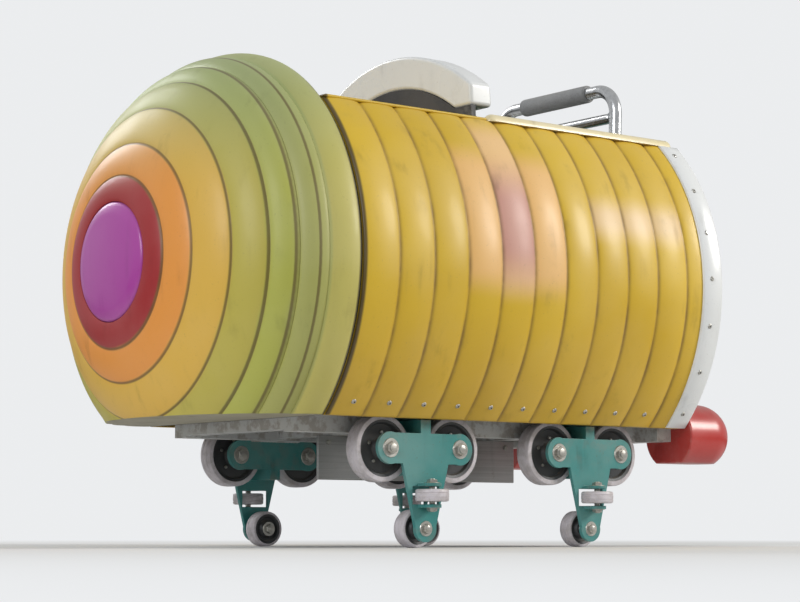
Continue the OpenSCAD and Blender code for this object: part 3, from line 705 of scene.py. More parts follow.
def soft_lamp(name, place, size, power, colour=(1, 1, 1)):
    """Area lamp that looks at the middle of the car."""
    data = bpy.data.lights.new(name, "AREA")
    data.shape = "DISK"
    data.size = size
    data.energy = power
    data.color = colour
    lamp = bpy.data.objects.new(name, data)
    bpy.context.scene.collection.objects.link(lamp)
    lamp.location = place
    lamp.rotation_euler = (centre - Vector(place)).to_track_quat("-Z", "Y").to_euler()


soft_lamp("Key", (4.4, -4.0, 3.2), 2.2, 250.0, (1.0, 0.97, 0.92))
soft_lamp("Fill", (-5.5, -2.2, 3.0), 2.6, 140.0, (0.95, 0.97, 1.0))
soft_lamp("Back", (-1.0, 5.0, 4.0), 2.5, 110.0)
bpy.context.scene.view_settings.view_transform = "Standard"
print("floor, world and three lamps set")

# %% [markdown]
# ## Ribbed body shell
# The shell is one glass fibre moulding: eleven swelling ribs with narrow grooves. Its outline goes
# along the outside over every rib and back along the smooth inside, and one spin turns it into a wall
# with real thickness. The swell is the root of a sine, which is full in the middle and steep beside a
# groove. The bottom of each groove is raised a little, because a mould has no knife edges. The last rib
# stays at its full height, as the land that the white rim wraps. A block with two rounded lower edges
# cuts the entry out of the left side.

# %% Outline of a rib
GROOVE_FILL = 0.16
RIB_STEPS = (0.0, 0.014, 0.035, 0.07, 0.12, 0.19, 0.28, 0.38,
             0.5, 0.62, 0.72, 0.81, 0.88, 0.93, 0.965, 0.986)


def swell(step):
    """Height of a rib between two grooves, from 0 to 1."""
    return max(GROOVE_FILL, math.sqrt(max(0.0, math.sin(math.pi * step))))


skin = [(GROOVE_R + RIB_DEPTH * swell(step), BODY_BACK + (rib + step) * RIB_PITCH)
        for rib in range(RIB_COUNT) for step in RIB_STEPS if rib < RIB_COUNT - 1 or step <= 0.5]
skin[0] = (GROOVE_R, BODY_BACK)
print(len(skin), "points along the ribs, pitch", round(RIB_PITCH, 4))

# %% Spin the shell and cut its openings
NOTCH_TO = BODY_FRONT - 0.080
NOTCH_FROM = NOTCH_TO - 0.400
SILL_Z = FLOOR_Z + 0.300
NOTCH_R = 0.070
bm = spin_outline(skin + [(BODY_R, BODY_FRONT), (INNER_R, BODY_FRONT), (INNER_R, BODY_BACK)])
trim_to_body(bm)
bmesh.ops.recalc_face_normals(bm, faces=bm.faces)
tool = bmesh.new()
bmesh.ops.create_cube(tool, size=1.0)
bmesh.ops.scale(tool, vec=(NOTCH_TO - NOTCH_FROM, 0.6, 1.0), verts=tool.verts)
bmesh.ops.translate(tool, vec=((NOTCH_TO + NOTCH_FROM) / 2, 0.31, SILL_Z + 0.5), verts=tool.verts)
low_edges = [edge for edge in tool.edges
             if all(vert.co.z < SILL_Z + 0.01 for vert in edge.verts)
             and abs(edge.verts[0].co.x - edge.verts[1].co.x) < 1e-4]
bmesh.ops.bevel(tool, geom=low_edges, offset=NOTCH_R, offset_type="OFFSET", segments=12, profile=0.5,
                affect="EDGES", material=-1)
bm = cut_with(bm, tool)
make_piece("body_skin", bm, "car", yellow_gelcoat, ("body_shell",), 48, turn_out=False)

# %% [markdown]
# ## Rounded tail
# The tail is an elliptic dome with ring ribs between the same kind of grooves, solid here because its
# inside never shows. A flat belly of raw laminate ends it level with the barrel. In its middle is a
# recess for the purple cap, and the dark disc of the joint stands between tail and barrel.

# %% Outline of the tail
TAIL_LEN = 0.360
RECESS_DEPTH = 0.015
CAP_STEPS = 24
rib_gain = 1 + RIB_DEPTH / GROOVE_R
tail_reach = (TAIL_LEN - JOINT_T / 2) / rib_gain
TAIL_FROM = JOINT_X - JOINT_T / 2
cap_r = GROOVE_R * TAIL_SHARES[-1]
cap_turn = math.acos(TAIL_SHARES[-1])
cap_edge_x = TAIL_FROM - tail_reach * math.sin(cap_turn)
recess_x = cap_edge_x + RECESS_DEPTH


def tail_points(outer, inner):
    """Points of one ring rib between two grooves, given as shares of the radius."""
    first, last = math.acos(outer), math.acos(inner)
    made = []
    for step in RIB_STEPS:
        turn = first + (last - first) * step
        gain = 1 + RIB_DEPTH / GROOVE_R * swell(step)
        made.append((GROOVE_R * math.cos(turn) * gain, TAIL_FROM - tail_reach * math.sin(turn) * gain))
    return made


outline = [point for pair in zip(TAIL_SHARES, TAIL_SHARES[1:]) for point in tail_points(*pair)]
outline[0] = (GROOVE_R, TAIL_FROM)
outline += [(cap_r + 0.003, cap_edge_x), (cap_r + 0.0008, cap_edge_x + 0.003), (cap_r + 0.0003, recess_x),
            (0.0, recess_x)]
print(len(outline), "points down the tail")

# %% Spin the tail, its cap and the joint disc
bm = spin_outline(outline + [(0.0, TAIL_FROM)])
bmesh.ops.delete(bm, geom=[edge for edge in bm.edges if not edge.link_faces], context="EDGES")
cut_flat(bm, (0, 0, BELLY_Z), (0, 0, -1))
for face in bm.faces:
    face.material_index = 1 if all(vert.co.z < BELLY_Z + 1e-4 for vert in face.verts) else 0
make_piece("tail_skin", bm, "car", [tail_gelcoat, raw_laminate], ("tail_dome",), 48)

cap_outline = [(0.0, recess_x + 0.001), (cap_r, recess_x + 0.001), (cap_r, cap_edge_x)]
for step in range(1, CAP_STEPS + 1):
    turn = cap_turn + (math.pi / 2 - cap_turn) * step / CAP_STEPS
    gain = 1 + RIB_DEPTH / GROOVE_R * min(1.0, math.sqrt(step / 5))
    out = GROOVE_R * max(0.0, math.cos(turn)) * gain if step < CAP_STEPS else 0.0
    cap_outline.append((out, TAIL_FROM - tail_reach * math.sin(turn) * gain))
bm = spin_outline(cap_outline, 96, closed=False)
make_piece("tail_middle", bm, "car", purple_gelcoat, ("tail_cap",), 50)

joint_r = joint_high.y
bm = spin_outline([(0.0, joint_low.x), (joint_r - 0.002, joint_low.x), (joint_r, joint_low.x + 0.002),
                   (joint_r, joint_high.x - 0.002), (joint_r - 0.002, joint_high.x), (0.0, joint_high.x)],
                  128, closed=False)
cut_flat(bm, (0, 0, BELLY_Z), (0, 0, -1))
bm.normal_update()
for face in bm.faces:
    face.material_index = 1 if abs(face.normal.x) > 0.9 else 0
make_piece("joint_disc", bm, "car", [joint_black, yellow_gelcoat], ("tail_bulkhead",))

# %% [markdown]
# ## White front rim and teal bulkhead
# A white lip wraps the front edge of the shell, rounder than a cut edge. Behind it the teal bulkhead
# keeps the riders' feet in. Its face has a shallow pressed frame, made by insetting the front face
# twice and pushing the inner face back.

# %% Turn the rim and dress the bulkhead
rim_low, rim_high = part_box("front_rim")
rim_r = -rim_low.y
rim_in = INNER_R - 0.010
rim_x0, rim_x1 = rim_low.x, rim_high.x
lip_r = BODY_R + 0.0002
ease = 0.005
rim_outline = [(rim_in, BODY_FRONT), (rim_in, rim_x1 - ease)]
rim_outline += [(rim_in + ease * (1 - math.cos(t)), rim_x1 - ease * (1 - math.sin(t)))
                for t in (0.5, 1.0, math.pi / 2)]
rim_outline += [(rim_r - ease * (1 - math.sin(t)), rim_x1 - ease * (1 - math.cos(t)))
                for t in (0.0, 0.4, 0.8, 1.2, math.pi / 2)]
rim_outline += [(rim_r, rim_x0 + 0.003), (rim_r - 0.003, rim_x0), (lip_r, rim_x0), (lip_r, BODY_FRONT)]
bm = spin_outline(rim_outline)
trim_to_body(bm)
make_piece("front_lip", bm, "car", white_gelcoat, ("front_rim",), 50)

bm = merged_copy("front_bulkhead")
ahead = [face for face in bm.faces if face.normal.x > 0.9]
bmesh.ops.inset_region(bm, faces=ahead, thickness=0.045, depth=0.0)
pushed = [face for face in bm.faces if face.normal.x > 0.9 and face.calc_area() > 0.2]
bmesh.ops.inset_region(bm, faces=pushed, thickness=0.010, depth=-0.006)
even_faces(make_piece("front_wall", bm, "car", teal_gelcoat, ("front_bulkhead",), 30,
                      turn_out=False))

# %% [markdown]
# ## Deck and beads
# The deck behind the seat closes the barrel's top. Along both open edges runs a cream half round bead,
# which softens the edge for the riders' arms. A bead is a ball cut in two and drawn out: the far half of
# a sphere is moved along, which gives round ends for nothing.

# %% Deck and half round beads
dress("rear_deck", "car", yellow_gelcoat, 0.0035, 3)
bead_low, bead_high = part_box("top_bead")
BEAD_R = bead_high.z - EDGE_Z
BEAD_Y = bead_high.y - BEAD_R
BEAD_FROM = bead_low.x


def lying_ball(bm, place, radius, around, along):
    """Add a ball whose poles lie along the car, and return its points."""
    matrix = Matrix.Translation(place) @ Matrix.Rotation(math.pi / 2, 4, "Y")
    return bmesh.ops.create_uvsphere(bm, u_segments=around, v_segments=along, radius=radius,
                                     matrix=matrix)["verts"]


def bead(bm, from_x, to_x, y):
    """Add a half round rod with round ends along the top edge."""
    middle = from_x + BEAD_R
    ball = lying_ball(bm, (middle, y, EDGE_Z), BEAD_R, 24, 16)
    far = [vert for vert in ball if vert.co.x > middle + 1e-5]
    bmesh.ops.translate(bm, vec=(to_x - from_x - 2 * BEAD_R, 0, 0), verts=far)


bm = bmesh.new()
bead(bm, BEAD_FROM + 0.001, BODY_FRONT - 0.001, -BEAD_Y)
bead(bm, BEAD_FROM + 0.001, NOTCH_FROM - 0.006, BEAD_Y)
bead(bm, NOTCH_TO + 0.006, BODY_FRONT - 0.001, BEAD_Y)
cut_flat(bm, (0, 0, EDGE_Z + 0.0002), (0, 0, -1))
make_piece("edge_beads", bm, "car", cream_gelcoat, ("top_bead",))

# %% [markdown]
# ## Rubber trim round the entry
# A cut glass fibre edge is sharp, so the entry notch wears a rubber strip pushed over it. The strip
# follows the notch down one side, round both corners and up again, always on the round wall, so its
# path is worked out point by point and a round section is drawn along it.

# %% Tubes along a path
def tube_mesh(name, points, radius, closed=False, swells=None, sides=4):
    """Mesh of a round tube along points, with an optional swelling at each point."""
    curve = bpy.data.curves.new(name, "CURVE")
    curve.dimensions = "3D"
    curve.bevel_depth = radius
    curve.bevel_resolution = sides
    curve.use_fill_caps = not closed
    line = curve.splines.new("POLY")
    line.points.add(len(points) - 1)
    for index, (point, place) in enumerate(zip(line.points, points)):
        point.co = (*place, 1)
        point.radius = swells[index] if swells else 1.0
    line.use_cyclic_u = closed
    rod = bpy.data.objects.new(name, curve)
    bpy.context.scene.collection.objects.link(rod)
    mesh = baked(rod)
    bpy.data.objects.remove(rod)
    bm = bmesh.new()
    bm.from_mesh(mesh)
    bmesh.ops.remove_doubles(bm, verts=bm.verts, dist=1e-6)
    bm.to_mesh(mesh)
    bm.free()
    return mesh


# %% Lay the trim round the notch
TRIM_R = 0.0125
TRIM_TOP = EDGE_Z - 0.007
wall_r = (INNER_R + BODY_R) / 2
rear_side = []
for step in range(24):
    rear_side.append((NOTCH_FROM, TRIM_TOP - (TRIM_TOP - SILL_Z - NOTCH_R) * step / 24))
for step in range(13):
    turn = math.pi / 2 * step / 12
    rear_side.append((NOTCH_FROM + NOTCH_R * (1 - math.cos(turn)), SILL_Z + NOTCH_R * (1 - math.sin(turn))))
sill = NOTCH_TO - NOTCH_FROM - 2 * NOTCH_R
sill_path = [(NOTCH_FROM + NOTCH_R + sill * step / 12, SILL_Z) for step in range(1, 12)]
front_side = [(NOTCH_TO + NOTCH_FROM - x, z) for x, z in reversed(rear_side)]
trim_points = [(x, math.sqrt(wall_r ** 2 - (z - AXIS_Z) ** 2), z + 0.001)
               for x, z in rear_side + sill_path + front_side]
trim_swells = [0.92] + [1.0] * (len(trim_points) - 2) + [0.92]
trim_mesh = tube_mesh("entry_trim", trim_points, TRIM_R, swells=trim_swells)
place_mesh("entry_trim", trim_mesh, "car", edge_rubber)

# %% [markdown]
# ## Seat moulding and headrest
# The bench is one black moulding. The headrest is a thick white arch on top of the back, and its edges
# are as round as the hand that polished the mould, so they get a wide bevel in several steps.

# %% Seat moulding and headrest
dress("seat_shell", "car", seat_plastic, 0.004, 3)
dress("headrest", "car", white_gelcoat, 0.014, 5, 50)

# %% [markdown]
# ## Cushions
# Vinyl over foam swells between its seams and lies flat only where it rests. A block can't show that,
# so each cushion starts as a slightly smaller copy of its solid, is remeshed into even small squares,
# and is blown up as cloth with pressure inside. The vertices that rest on the moulding are pinned. A
# cap keeps every point near its start, a light smoothing takes out the smallest creases, and the sewn
# channels and the piping come after the swelling.

# %% Swell a cushion as cloth
PAD_FRAMES = 20
PAD_SHRINK = 0.010
PAD_CAP = 0.015


def swollen_pad(node, grid_size, resting):
    """Cushion mesh blown up from a node's solid; resting tells which points stay."""
    low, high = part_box(node)
    middle = (low + high) / 2
    bm = merged_copy(node)
    bmesh.ops.triangulate(bm, faces=bm.faces)
    mesh = bpy.data.meshes.new(node + "_pad")
    bm.to_mesh(mesh)
    bm.free()
    for vert in mesh.vertices:
        for axis in range(3):
            half = (high[axis] - low[axis]) / 2
            vert.co[axis] = middle[axis] + (vert.co[axis] - middle[axis]) * (half - PAD_SHRINK) / half
    pad = bpy.data.objects.new(node + "_pad", mesh)
    bpy.context.scene.collection.objects.link(pad)
    grid = pad.modifiers.new("Even", "REMESH")
    grid.mode = "VOXEL"
    grid.voxel_size = grid_size
    even = baked(pad)
    pad.modifiers.clear()
    pad.data = even
    start = [vert.co.copy() for vert in even.vertices]
    held = pad.vertex_groups.new(name="held")
    held.add([v.index for v in even.vertices if resting(v.co)], 1.0, "REPLACE")
    cloth = pad.modifiers.new("Swell", "CLOTH")
    cloth.settings.use_pressure = True
    cloth.settings.uniform_pressure_force = 4.0
    cloth.settings.vertex_group_mass = "held"
    cloth.settings.quality = 6
    cloth.settings.effector_weights.gravity = 0.0
    cloth.point_cache.frame_start = 1
    cloth.point_cache.frame_end = PAD_FRAMES
    for moment in range(1, PAD_FRAMES + 1):
        bpy.context.scene.frame_set(moment)
    blown = baked(pad)
    pad.modifiers.clear()
    bpy.context.scene.frame_set(1)
    for vert, first in zip(blown.vertices, start):
        moved = vert.co - first
        if moved.length > PAD_CAP:
            vert.co = first + moved * (PAD_CAP / moved.length)
    bpy.data.objects.remove(pad)
    bm = bmesh.new()
    bm.from_mesh(blown)
    free = [vert for vert, first in zip(bm.verts, start) if not resting(first)]
    for _ in range(5):
        bmesh.ops.smooth_vert(bm, verts=free, factor=0.5,
                              use_axis_x=True, use_axis_y=True, use_axis_z=True)
    bm.to_mesh(blown)
    bm.free()
    blown.update()
    swelling = max((vert.co - first).length for vert, first in zip(blown.vertices, start))
    print(node, "swelled by up to", round(swelling, 4))
    return blown


# %% Sew channels into a cushion
def sew_channels(mesh, lines, facing, depth, width):
    """Press channels into the points whose normal faces a direction."""
    moves = []
    for vert in mesh.vertices:
        toward = max(0.0, (vert.normal.dot(facing) - 0.15) / 0.85)
        pull = max(math.exp(-((vert.co.y - line) / width) ** 2) for line in lines)
        moves.append(vert.normal * (-depth * pull * min(1.0, 1.6 * toward)))
    for vert, move in zip(mesh.vertices, moves):
        vert.co += move
    mesh.update()


def finer(mesh):
    """Subdivide a cushion once, so that its channels are round."""
    pad = bpy.data.objects.new("finer", mesh)
    bpy.context.scene.collection.objects.link(pad)
    smooth = pad.modifiers.new("Round", "SUBSURF")
    smooth.levels = 1
    smooth.render_levels = 1
    made = baked(pad)
    bpy.data.objects.remove(pad)
    return made


SEAM_DEPTH, SEAM_WIDTH = 0.0055, 0.0085
MIDDLE_DEPTH, MIDDLE_WIDTH = 0.012, 0.012


def sewn(mesh, count, facing):
    """Sew a deep middle channel and some on each side into a cushion, and make it finer."""
    lines = [side * CHANNEL_GAP * (1 + number) for side in (-1, 1) for number in range(count)]
    sew_channels(mesh, lines, facing, SEAM_DEPTH, SEAM_WIDTH)
    sew_channels(mesh, [0.0], facing, MIDDLE_DEPTH, MIDDLE_WIDTH)
    print(len(lines) + 1, "channels sewn")
    return finer(mesh)


# %% Seat cushion
seat_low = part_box("seat_cushion")[0]
seat_mesh = swollen_pad("seat_cushion", 0.0065, lambda co: co.z < seat_low.z + 0.014)
seat_form = seat_mesh.copy()
seat_mesh = sewn(seat_mesh, 5, Vector((0, 0, 1)))
for vert in seat_mesh.vertices:
    vert.co.z = max(vert.co.z, seat_low.z)
seat_pad = place_mesh("seat_pad", seat_mesh, "car", vinyl, ("seat_cushion",), 60)

# %% Back cushion
LEAN = math.radians(4.0)
BACK_FROM_JOINT = 0.545
PAN_Z = seat_low.z - 0.0003
lean_out = Vector((math.cos(LEAN), 0, math.sin(LEAN)))
back_foot = Vector((JOINT_X + BACK_FROM_JOINT, 0, PAN_Z))


def off_the_back(place):
    """Distance of a point ahead of the seat back's front face."""
    return (Vector(place) - back_foot).dot(lean_out)


back_mesh = swollen_pad("back_cushion", 0.0074, lambda co: off_the_back(co) < 0.016)
back_form = back_mesh.copy()
back_mesh = sewn(back_mesh, 6, lean_out)
back_pad = place_mesh("back_pad", back_mesh, "car", vinyl, ("back_cushion",), 60)

# %% [markdown]
# ## Piping
# A sewn cord runs round each cushion where its face meets its sides. A plane just behind the face cuts
# that line out of the swollen cushion as it was before its channels were sewn, so the cord passes
# straight over their ends. The cut edges are walked in order, thinned to even steps and smoothed, and a
# thin tube follows them. The edges wait in a dict and not in a set, which keeps their order, so that
# every run starts the cord at the same place.

# %% Find the line of the piping
def section_line(mesh, point, normal, spacing):
    """Walk the longest closed line where a plane cuts a mesh."""
    bm = bmesh.new()
    bm.from_mesh(mesh)
    geom = bm.verts[:] + bm.edges[:] + bm.faces[:]
    cut = bmesh.ops.bisect_plane(bm, geom=geom, dist=1e-5, plane_co=point, plane_no=normal)
    left = dict.fromkeys(part for part in cut["geom_cut"] if isinstance(part, bmesh.types.BMEdge))
    best = []
    while left:
        edge = next(iter(left))
        del left[edge]
        line = [edge.verts[0], edge.verts[1]]
        while True:
            ahead = next((other for other in line[-1].link_edges if other in left), None)
            if ahead is None:
                break
            del left[ahead]
            line.append(ahead.other_vert(line[-1]))
        if len(line) > len(best):
            best = [vert.co.copy() for vert in line]
    bm.free()
    spaced = [best[0]]
    for place in best:
        if (place - spaced[-1]).length >= spacing:
            spaced.append(place)
    if (spaced[0] - spaced[-1]).length < spacing * 0.7:
        spaced.pop()
    for _ in range(8):
        spaced = [(spaced[i - 1] + spaced[i] * 2 + spaced[(i + 1) % len(spaced)]) / 4
                  for i in range(len(spaced))]
    return spaced


# %% Lay the piping
PIPING_R = 0.0042
PIPING_STEP = 0.011
front_of_back = max(off_the_back(vert.co) for vert in back_mesh.vertices)
top_of_seat = max(vert.co.z for vert in seat_mesh.vertices)
for name, mesh, point, normal in (
        ("seat_piping", seat_form, Vector((0, 0, top_of_seat - 0.017)), Vector((0, 0, 1))),
        ("back_piping", back_form, back_foot + lean_out * (front_of_back - 0.016), lean_out)):
    line = section_line(mesh, point, normal, PIPING_STEP)
    cord = tube_mesh(name, line, PIPING_R, closed=True, sides=2)
    place_mesh(name, cord, "car", edge_rubber, (), 60)

# %% [markdown]
# ## Lap bar
# The bar is bent steel tube, so its solid is already right. A copy gets smooth shading, and the foam
# sleeve gets rolled ends and shallow rings, as a grip that was slid on and glued.

# %% Lap bar, sleeve and brackets
SLEEVE_T = 0.0068
GRIP_RINGS = 10
dress("lap_bar", "lap_bar_body", bar_steel, 0.0012, 2, 30)
sleeve_low, sleeve_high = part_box("lap_bar_sleeve")
sleeve_centre = (sleeve_low + sleeve_high) / 2
sleeve_r = (sleeve_high.z - sleeve_low.z) / 2
half = sleeve_high.y
profile = [(sleeve_r - SLEEVE_T, -half), (sleeve_r - 0.003, -half), (sleeve_r - 0.0008, -half + 0.003)]
for count in range(-GRIP_RINGS, GRIP_RINGS + 1):
    at = count * (half - 0.012) / GRIP_RINGS
    profile += [(sleeve_r, at - 0.004), (sleeve_r - 0.0012, at), (sleeve_r, at + 0.004)]
profile += [(sleeve_r - 0.0008, half - 0.003), (sleeve_r - 0.003, half), (sleeve_r - SLEEVE_T, half)]
bm = bmesh.new()
row = [bm.verts.new((sleeve_centre.x + r, y, sleeve_centre.z)) for r, y in profile]
edges = [bm.edges.new(pair) for pair in zip(row, row[1:] + row[:1])]
bmesh.ops.spin(bm, geom=row + edges, cent=sleeve_centre, axis=(0, 1, 0), angle=2 * math.pi, steps=40,
               use_merge=True)
make_piece("grip_sleeve", bm, "lap_bar_body", foam, ("lap_bar_sleeve",), 60)
dress("lap_bar_brackets", "car", zinc_steel, 0.0012)

# %% [markdown]
# ## Red feet
# Each foot is a drawn-out ball: a straight half tube behind a round toe, cut flat at the sole. A
# sphere's back half is moved back and cut off, and the sole edge gets a round.

# %% Feet
def red_foot(node, name):
    """Round-toed foot in the place of a node."""
    low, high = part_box(node)
    radius = (high.y - low.y) / 2
    middle_y = (low.y + high.y) / 2
    middle_z = high.z - radius
    bm = bmesh.new()
    ball = lying_ball(bm, (high.x - radius, middle_y, middle_z), radius, 48, 32)
    behind = [vert for vert in ball if vert.co.x < high.x - radius - 1e-5]
    bmesh.ops.translate(bm, vec=(low.x - high.x + radius - 0.001, 0, 0), verts=behind)
    cut_flat(bm, (low.x, 0, 0), (-1, 0, 0))
    cut_flat(bm, (0, 0, low.z), (0, 0, -1))
    bmesh.ops.recalc_face_normals(bm, faces=bm.faces)
    soften(bm, 0.005, 3, 40)
    even_faces(make_piece(name, bm, "car", red_gelcoat, (node,), 40))


for side in ("left", "right"):
    red_foot(f"foot_{side}", f"{side}_toe")

# %% [markdown]
# ## Floor and chassis
# The floor is a panel on a welded frame of box section. The copies get rounded edges, and the floor
# also gets a mat of raised ribs where the riders step, each a short bar with softened edges.

# %% Floor with its ribbed mat
dress("floor_panel", "car", floor_mat, 0.002)
MAT_ROWS = 11
MAT_RIB = (0.009, 0.215, 0.004)
riser_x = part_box("seat_shell")[1].x
gap = (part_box("floor_panel")[1].x - riser_x - 0.03) / MAT_ROWS
bm = bmesh.new()
for row_number in range(MAT_ROWS):
    for y in (-0.235, 0.0, 0.235):
        x = riser_x + 0.015 + (row_number + 0.5) * gap
        bar = bmesh.ops.create_cube(bm, size=1.0)
        bmesh.ops.scale(bm, vec=MAT_RIB, verts=bar["verts"])
        bmesh.ops.translate(bm, vec=(x, y, FLOOR_Z + 0.0018), verts=bar["verts"])
top_edges = [edge for edge in bm.edges if all(vert.co.z > FLOOR_Z + 0.003 for vert in edge.verts)]
bmesh.ops.bevel(bm, geom=top_edges, offset=0.0015, offset_type="OFFSET", segments=2, profile=0.5,
                affect="EDGES", material=-1)
make_piece("mat_ribs", bm, "car", floor_mat)

# %% Chassis, tongue and brake fin
dress("chassis_frame", "car", grey_paint, 0.004, 3)
dress("coupling_tongue", "car", grey_paint, 0.002)
dress("brake_fin", "car", fin_steel, 0.002)

# %% [markdown]
# ## Bogies
# A bogie is two cheek plates with a bridge between them, shelves for the guide wheel, and a leg down to
# the upstop wheel. The plates keep their solid's shape with small rounds.

# %% Bogie plates
PLACES = [(end, side) for end in ("rear", "front") for side in ("left", "right")]
for end, side in PLACES:
    dress(f"bogie_{end}_{side}", "car", teal_paint, 0.0012)

# %% [markdown]
# ## Wheels
# Each wheel is a dark turned hub with a pale tread cast round it. The outline goes once round the
# section: tread with two fine grooves, sloping rim, recessed web, hub and bearing. The faces then get
# their finish by their distance from the wheel's axis.

# %% Turn a wheel
TREAD_SHARE = 0.84
HUB_T = 0.013
WHEEL_BOLTS = 5


def wheel_outline(radius, width, bore):
    """Closed section of a wheel as (radius, width) points, from the bore round the tread and back."""
    half = width / 2
    tread_in = radius * TREAD_SHARE
    hub_r = bore + HUB_T
    side = [(bore, half), (bore + 0.004, half), (bore + 0.005, half - 0.0015),
            (hub_r - 0.003, half - 0.0015), (hub_r, half - 0.004), (hub_r + 0.004, half * 0.48),
            (tread_in - 0.010, half * 0.48), (tread_in - 0.006, half - 0.004),
            (tread_in, half - 0.0025), (tread_in + 0.0008, half - 0.0005),
            (radius - 0.005, half - 0.0005), (radius - 0.002, half - 0.0015),
            (radius - 0.0004, half - 0.004)]
    crown = [(radius, half * 0.45), (radius - 0.0010, half * 0.40), (radius - 0.0010, half * 0.34),
             (radius, half * 0.29)]
    back = [(r, -w) for r, w in reversed(side + crown)]
    return side + crown + back


def turned_wheel(node, upright):
    """Rail wheel in the place of a node; an upright one turns about the vertical."""
    low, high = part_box(node)
    middle = (low + high) / 2
    radius = (high.x - low.x) / 2
    width = high.z - low.z if upright else high.y - low.y
    bore = 0.0102 if node.startswith("run") else 0.0072
    bm = bmesh.new()
    row = [bm.verts.new((r, w, 0)) for r, w in wheel_outline(radius, width, bore)]
    edges = [bm.edges.new(pair) for pair in zip(row, row[1:] + row[:1])]
    bmesh.ops.spin(bm, geom=row + edges, cent=(0, 0, 0), axis=(0, 1, 0), angle=2 * math.pi, steps=56,
                   use_merge=True)
    bmesh.ops.remove_doubles(bm, verts=bm.verts, dist=1e-6)
    for face in bm.faces:
        at = face.calc_center_median()
        away = math.hypot(at.x, at.z)
        face.material_index = 0 if away > radius * TREAD_SHARE else (2 if away < bore + 0.0045 else 1)
    bolt_ring = bore + HUB_T + (radius * TREAD_SHARE - 0.010 - bore - 0.017) * 0.5
    if node.startswith("run"):
        for count in range(WHEEL_BOLTS):
            turn = 2 * math.pi * count / WHEEL_BOLTS + 0.3
            for face_side in (-1, 1):
                place = Vector((bolt_ring * math.cos(turn), face_side * width * 0.24,
                                bolt_ring * math.sin(turn)))
                hex_head(bm, place, Vector((0, face_side, 0)), 0.0042, 0.0045, 2)
    if upright:
        bmesh.ops.rotate(bm, cent=(0, 0, 0), matrix=Matrix.Rotation(math.pi / 2, 3, "X"), verts=bm.verts)
    bmesh.ops.translate(bm, vec=middle, verts=bm.verts)
    make_piece(node + "_turned", bm, node + "_body", [tread_plastic, hub_steel, zinc_steel],
               (node,), 35)


# %% Hexagon heads and nuts
def disc(bm, foot, outward, lift, depth, r1, r2, sides, index=0):
    """Add a short cone over a surface, in one of the piece's finishes."""
    turn = outward.to_track_quat("Z", "Y").to_matrix().to_4x4()
    place = Matrix.Translation(foot + outward * (lift + depth / 2)) @ turn
    made = bmesh.ops.create_cone(bm, cap_ends=True, cap_tris=False, segments=sides, radius1=r1,
                                 radius2=r2, depth=depth, matrix=place)
    for vert in made["verts"]:
        for face in vert.link_faces:
            face.material_index = index


def hex_head(bm, foot, outward, radius, height, index=0, washer=0.0):
    """Add a hexagon head with a chamfered top, standing on a surface, with an optional washer."""
    if washer:
        disc(bm, foot, outward, 0.0, washer, radius * 1.5, radius * 1.42, 24, index)
    disc(bm, foot, outward, washer, height * 0.78, radius, radius, 6, index)
    disc(bm, foot, outward, washer + height * 0.78, height * 0.22, radius * 0.99, radius * 0.80, 6, index)


for end, side in PLACES:
    for letter in "ab":
        turned_wheel(f"run_wheel_{end}_{side}_{letter}", False)
    turned_wheel(f"stop_wheel_{end}_{side}", False)
    turned_wheel(f"guide_wheel_{end}_{side}", True)

# %% [markdown]
# ## Axles and their nuts
# The frame's axles end in plain round nuts. Here each one gets a real hexagon nut on a washer, and the
# shaft stands out of the nut with a rounded end.

# %% Axles, pins and nuts
def shaft(bm, start, end, radius):
    """Round bar with eased ends between two points."""
    along = end - start
    turn = along.to_track_quat("Z", "Y").to_matrix().to_4x4()
    made = bmesh.ops.create_cone(bm, cap_ends=True, cap_tris=False, segments=32, radius1=radius,
                                 radius2=radius, depth=along.length,
                                 matrix=Matrix.Translation((start + end) / 2) @ turn)
    edges = dict.fromkeys(edge for vert in made["verts"] for edge in vert.link_edges)
    rims = [edge for edge in edges if len(edge.link_faces) == 2 and edge.calc_face_angle(0) > 1.0]
    bmesh.ops.bevel(bm, geom=rims, offset=radius * 0.15, offset_type="OFFSET", segments=2,
                    profile=0.5, affect="EDGES", material=-1)


RUN_SPAN = 0.210
PLATE_AWAY = 0.050
CHEEK_AWAY = 0.040
WHEEL_PLAY = 0.0025
RUN_NUT = {"radius": 0.0155, "height": 0.0075, "washer": 0.002}
PIN_NUT = {"radius": 0.0125, "height": 0.007, "washer": 0.0015}


